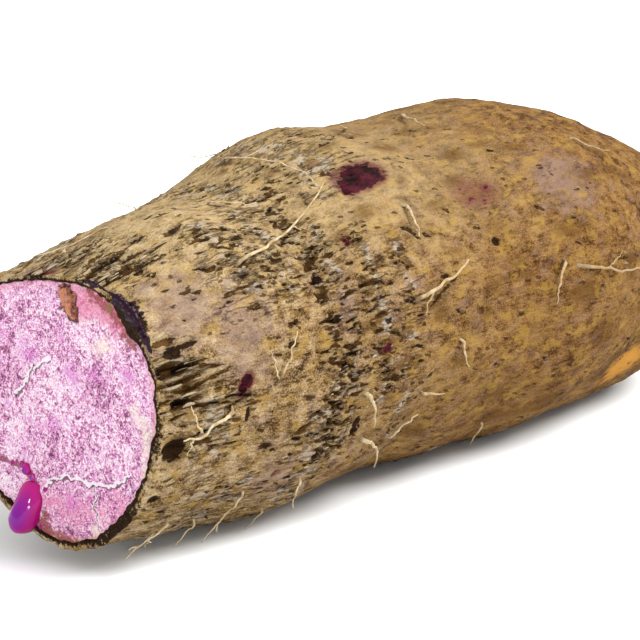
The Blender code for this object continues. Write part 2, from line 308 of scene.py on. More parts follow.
def along(station, column):
    """A column of STATIONS at any place along the length, on a smooth curve."""
    places = STATIONS[:, 0]
    values = STATIONS[:, column]
    index = np.arange(len(places))
    before = np.maximum(index - 1, 0)
    after = np.minimum(index + 1, len(places) - 1)
    slopes = (values[after] - values[before]) / (places[after] - places[before])
    station = np.asarray(station, float)
    low = np.clip(np.searchsorted(places, station) - 1, 0, len(places) - 2)
    span = places[low + 1] - places[low]
    u = (station - places[low]) / span
    inside = values[low] + (values[low + 1] - values[low]) * u * u * (3 - 2 * u)
    inside = inside + span * slopes[low] * u * (1 - u) ** 2
    inside = inside - span * slopes[low + 1] * u * u * (1 - u)
    return np.where(u < 0, values[low] + slopes[low] * (station - places[low]), inside)


def around_gap(angle, centre):
    """Signed angle between two directions round the tuber."""
    return (np.asarray(angle) - centre + 180) % 360 - 180


def tuber_radius(station, angle):
    """Distance from the middle line to the skin."""
    station = np.asarray(station, float)
    angle = np.asarray(angle, float)
    radius = BODY_RADIUS * along(station, 1)
    turn = np.radians(angle)
    near_cut = np.exp(-(station / 0.14) ** 2)
    radius = radius * (1 + near_cut * (0.06 * np.cos(2 * turn) - 0.04 * np.sin(2 * turn)
                                       - 0.03 * np.cos(3 * turn) + 0.04 * np.sin(3 * turn)))
    for centre, facing, height, reach, spread in SWELLINGS:
        off = around_gap(angle, facing)
        radius = radius + height * np.exp(-((station - centre) / reach) ** 2 - (off / spread) ** 2)
    ripple = np.sin(41 * station + 0.6 * np.cos(turn)) * np.cos(2 * turn + 9 * station)
    tip_start = 1 - TIP_LENGTH / LENGTH
    past = np.clip((station - tip_start) / (1 - tip_start), 0, 1)
    return (radius + 0.45 * MM * ripple) * np.sqrt(1 - past * past)


def skin_points(station, angle, lift=0.0):
    """Points of the skin, or a height above it, as rows of x, y and z."""
    station, angle = np.broadcast_arrays(np.asarray(station, float), np.asarray(angle, float))
    radius = tuber_radius(station, angle) + lift
    turn = np.radians(angle)
    up = along(station, 2) - REST_DEPTH + BODY_RADIUS * along(station, 1)
    y = along(station, 3) - np.cos(turn) * radius
    z = up + np.sin(turn) * radius
    lean = CUT_LEAN * (z - CUT_MIDDLE.z) * np.clip(1 - station / 0.05, 0, 1)
    x = (station - 0.5) * LENGTH + lean
    return np.stack((x, y, z), axis=-1)


def cut_x(z):
    """Where the cut lies at a height."""
    return CUT_MIDDLE.x + CUT_LEAN * (z - CUT_MIDDLE.z)


def outward(angle):
    """The direction that an angle round the tuber faces."""
    turn = math.radians(angle)
    return Vector((0, -math.cos(turn), math.sin(turn)))


def rough(points, size, shift=0.0):
    """Smooth random values, about -1 to 1, in lumps of a size, at rows of points."""
    flat = (points.reshape(-1, 3) / size + shift).tolist()
    values = [noise.fractal(place, 0.8, 2.1, 3) for place in flat]
    return np.array(values).reshape(points.shape[:-1])


def smooth_step(low, high, value):
    """0 below low, 1 above high and a soft ramp between."""
    share = np.clip((value - low) / (high - low), 0, 1)
    return share * share * (3 - 2 * share)


def add_node(tree, kind, inputs=None, **settings):
    """Add a shader node with its settings; each input is a value or the socket that feeds it."""
    node = tree.nodes.new(kind)
    for name, value in settings.items():
        setattr(node, name, value)
    for key, value in (inputs or {}).items():
        if isinstance(value, bpy.types.NodeSocket):
            tree.links.new(value, node.inputs[key])
        else:
            node.inputs[key].default_value = value
    return node


def calculate(tree, operation, *values):
    """The result of a maths node; each value is a number or a socket."""
    return add_node(tree, "ShaderNodeMath", dict(enumerate(values)), operation=operation).outputs[0]


def ramp(tree, value, low, high, start=0.0, end=1.0, kind="LINEAR"):
    """A value carried from the range low..high to the range start..end, and held at both ends."""
    return add_node(tree, "ShaderNodeMapRange", {
        "Value": value, "From Min": low, "From Max": high, "To Min": start, "To Max": end,
    }, interpolation_type=kind).outputs["Result"]


def mix(tree, share, under, over):
    """One colour over another; each is a colour or a socket."""
    return add_node(tree, "ShaderNodeMix", {0: share, 6: under, 7: over}, data_type="RGBA").outputs[2]


def noise_node(tree, place, size, detail, roughness=0.5):
    """Noise with lumps of a real size."""
    return add_node(tree, "ShaderNodeTexNoise", {
        "Vector": place, "Scale": 1 / size, "Detail": detail, "Roughness": roughness,
    })


def read_marks(tree, names):
    """The marks that a mesh carries, as sockets."""
    return {name: add_node(tree, "ShaderNodeAttribute", attribute_name=name).outputs["Fac"]
            for name in names}


def add_pattern(tree, base, pattern, share):
    """A value with some of a pattern added, measured from the pattern's middle."""
    centred = calculate(tree, "SUBTRACT", pattern, 0.5)
    return calculate(tree, "MULTIPLY_ADD", centred, share, base)


def cover(tree, base, masks, layers):
    """Layers of colour, each over the last: the mask's name, its colour and how much it hides."""
    for name, colour, share in layers:
        part = calculate(tree, "MULTIPLY", masks[name], share)
        base = mix(tree, part, base, colour if isinstance(colour, bpy.types.NodeSocket) else (*colour, 1))
    return base


def raise_relief(tree, shader, heights):
    """Bump the surface by the sum of patterns, each with its height in metres."""
    height = 0.0
    for source, share in heights:
        height = calculate(tree, "MULTIPLY_ADD", source, share, height)
    bump = add_node(tree, "ShaderNodeBump", {"Strength": 1.0, "Distance": 1.0, "Height": height})
    tree.links.new(bump.outputs["Normal"], shader.inputs["Normal"])


def new_material(name):
    """An empty material with its Principled shader, and the object's own coordinates."""
    material = bpy.data.materials.new(name)
    material.use_nodes = True
    tree = material.node_tree
    shader = tree.nodes["Principled BSDF"]
    place = add_node(tree, "ShaderNodeTexCoord").outputs["Object"]
    return material, tree, shader, place


def show_piece(name, shape, material, nodes, fields):
    """Turn a bmesh into a finished piece that rides on the model."""
    data = bpy.data.meshes.new(name)
    shape.to_mesh(data)
    shape.free()
    data.shade_smooth()
    for field, values in fields.items():
        layer = data.attributes.new(field, "FLOAT", "POINT")
        layer.data.foreach_set("value", np.asarray(values, np.float32))
    data.materials.append(material)
    piece = bpy.data.objects.new(name, data)
    bpy.context.scene.collection.objects.link(piece)
    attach(piece, "root")
    for node in nodes:
        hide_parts(node)
    return piece


# ---- The bark ----

SKIN_SIDES = 320             # vertices round the bark
SKIN_RINGS = 306             # and along it
RIM_RINGS = 9                # the first rings, which make the lip and the bed of the flesh
BED_DEPTH = 2.2 * MM         # how far the bed lies behind the cut
SPLIT_SLANT = 26 * MM        # how far the splits sink over the widening part of the tuber
SKIN_MARKS = ("fissure", "lip", "band", "bloom", "wound", "bare", "pit", "shade", "rim")


def even_places(low, high, count, density):
    """Places between two ends, closer together where the density is higher."""
    fine = np.linspace(low, high, 4001)
    total = np.concatenate(([0], np.cumsum(density((fine[1:] + fine[:-1]) / 2))))
    return np.interp(np.linspace(0, total[-1], count), total, fine)


def ring_density(station):
    """Rings stand closer near the cut, where the bark is most broken, and at the tip."""
    tip_start = 1 - TIP_LENGTH / LENGTH
    past = np.clip((station - tip_start) / (1 - tip_start), 0, 1)
    return (1 + 1.4 * smooth_step(0.50, 0.36, station)) / np.sqrt(1.02 - past * past)


def side_density(angle):
    """Sides stand closer over the upper front."""
    return 1 + 1.1 * smooth_step(115, 80, np.abs(angle - 20))


class SkinField:
    """Grids of values over the skin, one for each ring and side, that marks are pressed into."""

    def __init__(self):
        body = even_places(0, 1, SKIN_RINGS - RIM_RINGS + 1, ring_density)
        self.station = np.concatenate((np.zeros(RIM_RINGS), body))
        self.angle = even_places(-160, 200, SKIN_SIDES + 1, side_density)[:-1]
        blank = np.zeros((len(self.station), len(self.angle)))
        self.lift = blank.copy()
        self.marks = {name: blank.copy() for name in SKIN_MARKS}
        self.skin = skin_points(self.station[:, None], self.angle[None, :])

    def window(self, station, angle, reach):
        """The rings and sides near a place, and their distances from it along and around."""
        girth = max(float(tuber_radius(station, angle)), 6 * MM)
        along_gap = (self.station - station) * LENGTH
        around = np.radians(around_gap(self.angle, angle)) * girth
        rings = np.nonzero((np.abs(along_gap) < reach) & (np.arange(len(along_gap)) >= RIM_RINGS))[0]
        sides = np.nonzero(np.abs(around) < reach)[0]
        return np.ix_(rings, sides), along_gap[rings][:, None], around[sides][None, :]

    def press_fissure(self, station, angle, length, width, depth, heading, bow):
        """A short split in the bark with pale lips on both sides."""
        place, dx, dy = self.window(station, angle, 0.75 * length + 2 * width)
        run = (dx * math.cos(heading) + dy * math.sin(heading)) / (0.5 * length)
        cross = (dy * math.cos(heading) - dx * math.sin(heading)) / (0.5 * width)
        cross = cross + bow * (run * run - 0.4)
        ends = np.exp(-run ** 4)
        split = ends * np.exp(-cross ** 2)
        lips = ends * np.exp(-((np.abs(cross) - 1.75) / 0.65) ** 2)
        self.marks["fissure"][place] = np.maximum(self.marks["fissure"][place], split)
        self.marks["lip"][place] = np.maximum(self.marks["lip"][place], lips)
        self.lift[place] += depth * (0.45 * lips - split)


def slant(station):
    """How far fissures turn downwards, in radians: most where the tuber widens."""
    return -0.26 * smooth_step(0.12, 0.3, station) * smooth_step(0.75, 0.5, station)


def press_bands(field, chance, depth_share):
    """The bands of fissures, then the fissures scattered over the rest of the bark."""
    for station, spread, low, high, count, length, width, depth in FISSURE_BANDS:
        inside = smooth_step(10, 0, np.abs(around_gap(field.angle, (low + high) / 2)) - (high - low) / 2)
        near = np.exp(-((field.station - station) / (1.3 * spread)) ** 2)
        field.marks["band"] = np.maximum(field.marks["band"], near[:, None] * inside[None, :])
        for _ in range(count):
            grow = chance.lognormal(0, 0.35)
            field.press_fissure(
                max(station + chance.normal(0, spread), 0.002), chance.uniform(low, high),
                length * grow, width * chance.uniform(0.6, 1.3), depth_share * depth * grow,
                slant(station) + chance.normal(0, 0.14), chance.normal(0, 0.5))
    for station, angle, length, width, depth, heading in LONG_SPLITS:
        field.press_fissure(station, angle, length, width, depth_share * depth,
                            math.radians(heading), 0.6)
    for _ in range(SCATTERED_FISSURES):
        station = 0.005 + 0.96 * chance.beta(0.9, 1.8)
        grow = chance.lognormal(0, 0.4) * (1.2 - 0.5 * station)
        field.press_fissure(
            station, chance.uniform(-180, 180), 2.6 * MM * grow, 0.9 * MM * grow,
            depth_share * 0.3 * MM * grow, slant(station) + chance.normal(0, 0.2),
            chance.normal(0, 0.4))


def press_shades(field, chance):
    """Soft brown shading, drawn out along the tuber."""
    for _ in range(SHADES):
        station = chance.uniform(SHADE_FIRST, SHADE_LAST)
        length = chance.uniform(3, 11) * MM
        width = chance.uniform(0.25, 0.6) * length
        place, dx, dy = field.window(station, chance.uniform(-180, 180), 2 * length)
        spot = chance.uniform(0.35, 1.0) * np.exp(-(dx / length) ** 2 - (dy / width) ** 2)
        field.marks["shade"][place] = np.maximum(field.marks["shade"][place], spot)


def press_features(field):
    """Pits, wounds, bloom and bare patches at their own places."""
    for station, angle, length, width, depth in PITS:
        place, dx, dy = field.window(station, angle, 1.5 * max(length, width))
        ragged = 1 + 0.35 * rough(field.skin[place], 2.2 * MM)
        hole = np.exp(-((dx / (0.5 * length)) ** 2 + (dy / (0.5 * width)) ** 2) ** 1.5 * ragged)
        field.marks["pit"][place] = np.maximum(field.marks["pit"][place], hole)
        field.lift[place] -= depth * hole
    for station, angle, half_length, half_width, dark in WOUNDS:
        place, dx, dy = field.window(station, angle, 2.2 * max(half_length, half_width))
        ragged = 1 + 0.30 * rough(field.skin[place], 3.5 * MM)
        bare = np.exp(-((dx / half_length) ** 2 + (dy / half_width) ** 2) ** 1.5 * 0.7 * ragged)
        field.marks["wound"][place] = np.maximum(field.marks["wound"][place], dark * bare)
        field.lift[place] -= 0.55 * MM * bare
    # The brown patches go into the shade mark; the long one along the underside is painted shade
    for name, spots in (("bloom", BLOOM), ("bare", BARE_PATCHES), ("shade", BROWN_PATCHES)):
        for station, angle, reach, spread, strength in spots:
            off = around_gap(field.angle, angle)[None, :] / spread
            run = (field.station[:, None] - station) / reach
            spot = strength * np.exp(-(run ** 2 + off ** 2))
            field.marks[name] = np.maximum(field.marks[name], spot)


def raise_skin(field):
    """Make the whole skin uneven, calm the marks at the cut and put the skin where it belongs."""
    near_rim = np.exp(-field.station / 0.006)[:, None]
    body = field.skin[RIM_RINGS:]
    field.lift *= smooth_step(-0.002, 0.007, field.station)[:, None]
    for height, size, shift in SKIN_LUMPS:
        field.lift[RIM_RINGS:] += height * rough(body, size, shift)
    field.lift += 0.4 * MM * near_rim * (0.5 + rough(field.skin, 4 * MM, shift=5.0))
    field.lift[-1] = 0
    field.skin = skin_points(field.station[:, None], field.angle[None, :], field.lift)


def stain_and_shade_rim(field):
    """The bark is stained just behind the cut, and further back in some places; beside the sap crust the
    dark band is painted shadow.
    """
    dark = 0.3 * np.exp(-field.station / 0.0018)[:, None] + 0 * field.lift
    for at, spread, reach, strength in DARK_RIM:
        beside = strength * np.exp(-(around_gap(field.angle, at) / spread) ** 2)
        dark = np.maximum(dark, np.exp(-(field.station / reach) ** 2)[:, None] * beside[None, :])
    field.marks["rim"] = dark


def shape_rim(field, thickness):
    """Places of the first rings: the bed of the flesh, its wall and the rounded lip."""
    points = field.skin
    angle = field.angle
    turn = np.radians(angle)
    outer = tuber_radius(0.0, angle)
    ragged = rough(points[RIM_RINGS], 3.0 * MM)
    fine = rough(points[RIM_RINGS], 1.8 * MM, shift=7.0)
    torn = sum(more * np.exp(-(around_gap(angle, at) / spread) ** 2)
               for at, spread, more in TORN_RIM)
    wall = thickness * (1.0 + 0.4 * ragged + 0.2 * fine + torn * (1 + 0.2 * ragged))
    # Share of the wall thickness inside the skin, and height before the cut
    profile = ((None, 0), (3.0, 0), (1.25, 0), (1.05, 0), (1.0, 0.9), (0.95, 1.06), (0.7, 1.2),
               (0.35, 1.2), (0.08, 1.1))
    stand = 0.35 * MM * (0.4 + ragged) + 0.15 * MM * fine
    for ring, (inside, height) in enumerate(profile):
        radius = 0 * outer if inside is None else outer - wall * inside
        y = CUT_MIDDLE.y - np.cos(turn) * radius
        z = CUT_MIDDLE.z + np.sin(turn) * radius
        x = cut_x(z) + BED_DEPTH * (1 - min(height, 1.0)) - max(height - 0.9, 0) * (0.5 * MM + stand)
        points[ring] = np.stack((x, y, z), axis=-1)
        dark = min(1.0, 1.3 * (inside or 1.0))
        field.marks["rim"][ring] = np.maximum(field.marks["rim"][ring], dark)


def cork_material(settings):
    """Yam cork: dead bark in thin layers, grey and dusty near the cut and rubbed golden
    further on, split by dark fissures and never glossy."""
    material, tree, shader, place = new_material("yam cork bark")
    # Lump size in millimetres, stretch along the tuber, detail
    patterns = {}
    for name, size, stretch, detail in (
        ("cloud", 13, 1.5, 4), ("mottle", 3.0, 1.7, 5), ("grain", 0.42, 1.3, 2), ("hue", 3.6, 1.5, 5),
        ("fibre", 0.7, 6.0, 3), ("ragged", 0.8, 2.4, 4), ("patch", 6.0, 1.5, 5), ("line", 3.0, 5.0, 5),
    ):
        spot = add_node(tree, "ShaderNodeMapping", {"Vector": place, "Scale": (1 / stretch, 1, 1)})
        patterns[name] = noise_node(tree, spot.outputs["Vector"], size * MM, detail, 0.6).outputs["Fac"]
    marks = read_marks(tree, SKIN_MARKS)

    # How far towards the tip, where the bark turns from dusty to golden
    split_place = add_node(tree, "ShaderNodeSeparateXYZ", {0: place})
    drift = calculate(tree, "MULTIPLY_ADD", patterns["cloud"], 0.09, split_place.outputs["X"])
    far = ramp(tree, drift, -0.125, 0.050, kind="SMOOTHSTEP")

    # Tone runs from dark through plain to pale; grain and fibre break it up
    tone = patterns["mottle"]
    for other, share in (("grain", 0.80), ("fibre", 0.45), ("cloud", 0.45)):
        tone = add_pattern(tree, tone, patterns[other], share)
    grounds = []
    for dark, plain, pale in (settings.near_colours(), settings.far_colours()):
        part = mix(tree, ramp(tree, tone, 0.28, 0.5), dark, plain)
        grounds.append(mix(tree, ramp(tree, tone, 0.5, 0.76), part, pale))
    base = mix(tree, far, *grounds)

    # Painted top light: paler along the top of the near half, where the key light falls from above; mauve
    # and straw in patches
    masks = {}
    upper = calculate(tree, "MULTIPLY_ADD", patterns["mottle"], 0.05, split_place.outputs["Z"])
    top = ramp(tree, upper, 0.080, 0.120, kind="SMOOTHSTEP")
    nearer = ramp(tree, drift, 0.095, -0.035, kind="SMOOTHSTEP")
    masks["painted_toplight"] = calculate(tree, "MULTIPLY", top, nearer)
    masks["straw"] = ramp(tree, patterns["hue"], 0.47, 0.36)
    masks["mauve"] = calculate(tree, "MULTIPLY", ramp(tree, patterns["hue"], 0.54, 0.66),
                               ramp(tree, far, 0.0, 1.0, 1.0, 0.5))

    # Fine splits: one to a cell, 1 mm across and 4 mm along, more of them in the bands, and
    # slanting down where the tuber widens
    drop = ramp(tree, split_place.outputs["X"], -0.09, 0.05, end=SPLIT_SLANT, kind="SMOOTHSTEP")
    lower = add_node(tree, "ShaderNodeCombineXYZ", {"Z": drop})
    slanted = add_node(tree, "ShaderNodeVectorMath", {0: place, 1: lower.outputs[0]}, operation="ADD")
    wander = noise_node(tree, place, 1.2 * MM, 3)
    shaken = add_node(tree, "ShaderNodeVectorMath", {
        0: wander.outputs["Color"], 1: (1.1 * MM, 1.1 * MM, 1.1 * MM), 2: slanted.outputs[0],
    }, operation="MULTIPLY_ADD")
    squeezed = add_node(tree, "ShaderNodeMapping", {"Vector": shaken.outputs[0], "Scale": (0.27, 1, 1)})
    cells = add_node(tree, "ShaderNodeTexVoronoi", {
        "Vector": squeezed.outputs["Vector"], "Scale": 1 / (1.25 * MM), "Randomness": 1.0,
    })
    draw = add_node(tree, "ShaderNodeSeparateColor", {0: cells.outputs["Color"]})
    thick = calculate(tree, "MULTIPLY_ADD", marks["band"], 0.32, ramp(tree, far, 0.0, 1.0, 0.16, 0.05))
    crowd = calculate(tree, "LESS_THAN", draw.outputs[0], thick)
    slit = ramp(tree, cells.outputs["Distance"], 0.40, 0.22, kind="SMOOTHSTEP")
    masks["dash"] = calculate(tree, "MULTIPLY", crowd, slit)

    # Hairline cracks: where a drawn-out noise crosses its middle value, in some patches only
    from_line = calculate(tree, "ABSOLUTE", calculate(tree, "SUBTRACT", patterns["line"], 0.5))
    broad = calculate(tree, "MULTIPLY_ADD", marks["band"], 0.022, 0.010)
    hairline = ramp(tree, calculate(tree, "DIVIDE", from_line, broad), 1.2, 0.5)
    patchy = calculate(tree, "MULTIPLY_ADD", marks["band"], 0.30, patterns["patch"])
    masks["hairline"] = calculate(tree, "MULTIPLY", hairline, ramp(tree, patchy, 0.56, 0.66))

    # Soft marks sharpened along ragged edges: mark, raggedness, pattern, low, high
    for name, mark, share, pattern, low, high in (
        ("fissure", "fissure", 1.7, "ragged", 0.46, 0.70),
        ("lip", "lip", 2.0, "ragged", 0.45, 0.95),
        ("bloom", "bloom", 1.2, "hue", 0.15, 1.0),
        ("ash", "band", 3.2, "hue", 0.95, 1.35),
        ("bare", "bare", 1.6, "mottle", 0.35, 1.25),
        ("wound", "wound", 1.5, "mottle", 0.38, 0.48),
        ("stain", "wound", 0.6, "mottle", 0.05, 0.40),
        ("pit", "pit", 1.2, "ragged", 0.40, 0.60),
        ("shade", "shade", 1.9, "mottle", 0.30, 1.0),
        ("rim", "rim", 1.8, "ragged", 0.45, 0.75),
    ):
        broken = add_pattern(tree, marks[mark], patterns[pattern], share)
        masks[name] = ramp(tree, broken, low, high, kind="SMOOTHSTEP")

    # The inside of a fissure and of a wound go from brown to nearly black
    depths = {}
    for name, shallow, deep in (("fissure", settings.split_colour, settings.fissure_colour),
                                ("wound", settings.raw_colour, settings.wound_colour)):
        share = ramp(tree, patterns["mottle"], 0.60, 0.40)
        depths[name] = mix(tree, share, (*shallow, 1), (*deep, 1))

    # The paler layer along the top of the near half is painted top light, not a colour of the bark
    base = cover(tree, base, masks, (
        ("mauve", settings.bloom_colour, 0.45), ("straw", settings.straw_colour, 0.60),
        ("painted_toplight", settings.painted_toplight_colour, 0.42), ("bloom", settings.bloom_colour, 0.60),
        ("shade", settings.split_colour, 0.72), ("ash", settings.ash_colour, 0.55),
        ("lip", settings.lip_colour, 0.30), ("bare", settings.bare_colour, 0.9),
        ("dash", depths["fissure"], 0.78), ("hairline", depths["fissure"], 0.55),
        ("fissure", depths["fissure"], 0.95), ("stain", settings.stain_colour, 0.75),
        ("wound", depths["wound"], 1.0), ("pit", settings.fissure_colour, 0.95),
        ("rim", settings.rim_colour, 0.95),
    ))
    tree.links.new(base, shader.inputs["Base Color"])
    raise_relief(tree, shader, (
        (patterns["grain"], 0.22 * MM), (patterns["fibre"], 0.40 * MM), (patterns["ragged"], 0.35 * MM),
        (patterns["mottle"], 0.8 * MM), (masks["dash"], -0.40 * MM), (masks["hairline"], -0.3 * MM),
        (masks["fissure"], -0.6 * MM), (masks["lip"], 0.25 * MM),
    ))
    dull = ramp(tree, masks["wound"], 0.0, 1.0, 0.78, 0.42)
    tree.links.new(dull, shader.inputs["Roughness"])
    shader.inputs["IOR"].default_value = 1.45
    shader.inputs["Specular IOR Level"].default_value = 0.04
    return material


class YamBark(bpy.types.PropertyGroup):
    """Sizes and colours of the bark."""
    thickness: bpy.props.FloatProperty(
        name="Thickness", description="Thickness of the bark where the knife cut it",
        default=1.35 * MM, unit="LENGTH")
    fissures: bpy.props.FloatProperty(
        name="Fissure Depth", description="Depth of the fissures, against the usual", default=1.0)
    near_dark: bpy.props.FloatVectorProperty(
        name="Dusty Dark", description="Darkest bark near the cut", subtype="COLOR",
        default=seen("563818"))
    near_plain: bpy.props.FloatVectorProperty(
        name="Dusty", description="Bark near the cut", subtype="COLOR", default=seen("bb9b6c"))
    near_pale: bpy.props.FloatVectorProperty(
        name="Dusty Pale", description="Palest bark near the cut", subtype="COLOR",
        default=seen("f2dab0"))
    far_dark: bpy.props.FloatVectorProperty(
        name="Golden Dark", description="Darkest bark towards the tip", subtype="COLOR",
        default=seen("523010"))
    far_plain: bpy.props.FloatVectorProperty(
        name="Golden", description="Bark towards the tip", subtype="COLOR", default=seen("94693a"))
    far_pale: bpy.props.FloatVectorProperty(
        name="Golden Pale", description="Palest bark towards the tip", subtype="COLOR",
        default=seen("ba9056"))
    fissure_colour: bpy.props.FloatVectorProperty(
        name="Fissures", description="Inside the fissures", subtype="COLOR", default=seen("2c1708"))
    split_colour: bpy.props.FloatVectorProperty(
        name="Split Sides", description="Brown sides of the fissures", subtype="COLOR",
        default=seen("6c4618"))
    straw_colour: bpy.props.FloatVectorProperty(
        name="Straw Bark", description="Yellower bark between the mauve", subtype="COLOR",
        default=seen("c49b4a"))
    raw_colour: bpy.props.FloatVectorProperty(
        name="Fresh Wound", description="Redder flesh in a wound", subtype="COLOR",
        default=seen("5e1a28"))
    lip_colour: bpy.props.FloatVectorProperty(
        name="Lips", description="Lifted edges beside the fissures", subtype="COLOR",
        default=seen("ead6ae"))
    # Painted top light: the paler colour laid along the top, where the key light falls
    painted_toplight_colour: bpy.props.FloatVectorProperty(
        name="Painted_Toplight", description="Sun-bleached bark along the top", subtype="COLOR",
        default=seen("f0d49c"))
    ash_colour: bpy.props.FloatVectorProperty(
        name="Ash", description="Greyer bark between the bands of fissures", subtype="COLOR",
        default=seen("dcd0bc"))
    bloom_colour: bpy.props.FloatVectorProperty(
        name="Bloom", description="Mauve bloom", subtype="COLOR", default=seen("ac8e82"))
    bare_colour: bpy.props.FloatVectorProperty(
        name="Bare Bark", description="Where the outer bark has come off", subtype="COLOR",
        default=seen("f2ac46"))
    stain_colour: bpy.props.FloatVectorProperty(
        name="Stain", description="Stained bark round a wound", subtype="COLOR",
        default=seen("7c3e3e"))
    wound_colour: bpy.props.FloatVectorProperty(
        name="Wound", description="Dried flesh in a wound", subtype="COLOR", default=seen("22090c"))
    # Also laid as painted shadow in the wedge beside the sap crust
    rim_colour: bpy.props.FloatVectorProperty(
        name="Cut Edge", description="The bark's cut edge", subtype="COLOR", default=seen("1c0804"))

    def near_colours(self):
        """Dark, plain and pale bark near the cut."""
        return (*self.near_dark, 1), (*self.near_plain, 1), (*self.near_pale, 1)

    def far_colours(self):
        """Dark, plain and pale bark towards the tip."""
        return (*self.far_dark, 1), (*self.far_plain, 1), (*self.far_pale, 1)


class YAM_OT_bark(bpy.types.Operator):
    """Grow the bark: a ball drawn out to the tuber's shape, with its marks pressed in"""
    bl_idname = "yam.bark"
    bl_label = "Grow Bark"

    def execute(self, context):
        settings = context.scene.yam_bark
        chance = np.random.default_rng(SEED)
        field = SkinField()
        press_bands(field, chance, settings.fissures)
        press_shades(field, chance)
        press_features(field)
        raise_skin(field)
        stain_and_shade_rim(field)
        shape_rim(field, settings.thickness)
        field.skin[..., 2] = np.maximum(field.skin[..., 2], 0)

        shape = bmesh.new()
        bmesh.ops.create_uvsphere(shape, u_segments=SKIN_SIDES, v_segments=SKIN_RINGS, radius=1)
        rings = []
        sides = []
        for vertex in shape.verts:
            x, y, z = vertex.co
            ring = round(math.acos(max(-1, min(1, -z))) / math.pi * SKIN_RINGS)
            side = round(math.atan2(y, x) / math.tau * SKIN_SIDES) % SKIN_SIDES
            vertex.co = field.skin[ring, side]
            rings.append(ring)
            sides.append(side)
        bmesh.ops.recalc_face_normals(shape, faces=shape.faces)
        fields = {name: grid[rings, sides] for name, grid in field.marks.items()}
        show_piece("tuber_skin", shape, cork_material(settings), ("tuber",), fields)
        return {"FINISHED"}


# ---- The cut flesh ----

FLESH_GRID = 300             # faces along a side of the flesh's grid
FLESH_BEHIND = 0.35 * MM     # how far the flesh lies behind the bark's cut edge
FLESH_DEPTH = 1.5 * MM       # how far its back lies behind the cut
FLESH_MARKS = ("crack", "gap", "red", "pink", "tongue", "core", "cream", "blotch", "spot", "juice",
               "edge", "border", "brown")

# Lines and patches on the cut face, in millimetres: across (+Y) and up (+Z)
CRACKS = (
    ((1.0, 19.3), (-1.0, 20.6), (-3.0, 22.4), (-5.2, 23.0), (-7.0, 24.2), (-8.8, 23.5), (-10.5, 24.3),
     (-13.1, 23.5), (-15.5, 23.2), (-18.3, 24.3), (-20.1, 23.5), (-22.1, 24.0), (-25.9, 25.8),
     (-28.2, 27.8)),
    ((-17.0, 23.4), (-17.3, 20.7), (-16.7, 17.6), (-17.5, 14.9), (-18.2, 12.4)),
    ((-28.6, 24.4), (-29.3, 22.4), (-30.4, 20.4), (-28.7, 18.1)),
    ((3.2, 49.0), (0.2, 52.0), (-2.0, 53.0)),
    ((10.0, 42.0), (6.0, 46.0), (4.2, 50.2)),
)
JUICE_TRAIL = ((16.5, 24.3), (11.7, 23.8), (8.1, 24.0), (6.6, 23.0), (5.0, 21.4), (4.0, 19.5))
ROOT_TRACE = ((-7.6, 69.6), (-8.8, 67.7), (-10.0, 65.6), (-11.0, 63.6))
PINK_ZONE = ((-13.3, 67.5), (-17.0, 68.0), (-22.0, 67.5), (-26.0, 65.0))
LOWER_PINK = ((6.0, 17.0), (-6.0, 15.0), (-16.0, 15.0), (-24.0, 19.0))
RED_RIM = ((-15.6, 71.4), (-19.6, 69.2), (-23.4, 66.4), (-26.8, 63.2), (-29.4, 60.0))
RED_FAR_RIM = ((10, 74.5), (2, 75.0), (-3, 74.0))
RED_LOW = ((5.0, 10.0), (2.0, 9.6), (-1.0, 8.2), (-5.0, 7.0), (-10.0, 6.2))
RED_PATCH = ((0.0, 12.6), (1.2, 10.4))
CREAM_PATCHES = (
    ((-30.4, 43.5), (-33.6, 39.7), (-34.6, 33.0), (-33.6, 28.0)),
    ((-21.5, 59.0), (-18.1, 57.6)),
    ((-17.6, 11.5), (-19.5, 10.0)),
)
BLOTCHES = (
    ((-9.8, 49.1), (-8.5, 50.8)), ((-16.7, 50.5), (-17.6, 50.0)), ((5.4, 52.2), (4.4, 53.2)),
    ((-2.5, 35.7), (-3.5, 36.8)), ((-28.5, 52.0), (-27.4, 53.0)), ((-8.0, 17.0), (-9.5, 17.5)),
)
GREEN_SPOT = ((-22.1, 68.2), (-22.1, 67.6))


def stroke(y, z, path, *widths):
    """How close places are to a line on the cut face: 1 on it, fading over its width, which
    may change along the line."""
    nearest = np.full(y.shape, 1e3)
    widths = np.interp(np.linspace(0, 1, len(path)), np.linspace(0, 1, len(widths)), widths)
    for (y0, z0), (y1, z1), before, after in zip(path, path[1:], widths, widths[1:]):
        y0, z0, y1, z1 = y0 * MM, z0 * MM, y1 * MM, z1 * MM
        run = ((y - y0) * (y1 - y0) + (z - z0) * (z1 - z0)) / ((y1 - y0) ** 2 + (z1 - z0) ** 2)
        run = np.clip(run, 0, 1)
        gap = np.hypot(y - y0 - run * (y1 - y0), z - z0 - run * (z1 - z0))
        nearest = np.minimum(nearest, gap / (before + run * (after - before)))
    return np.exp(-nearest ** 2)


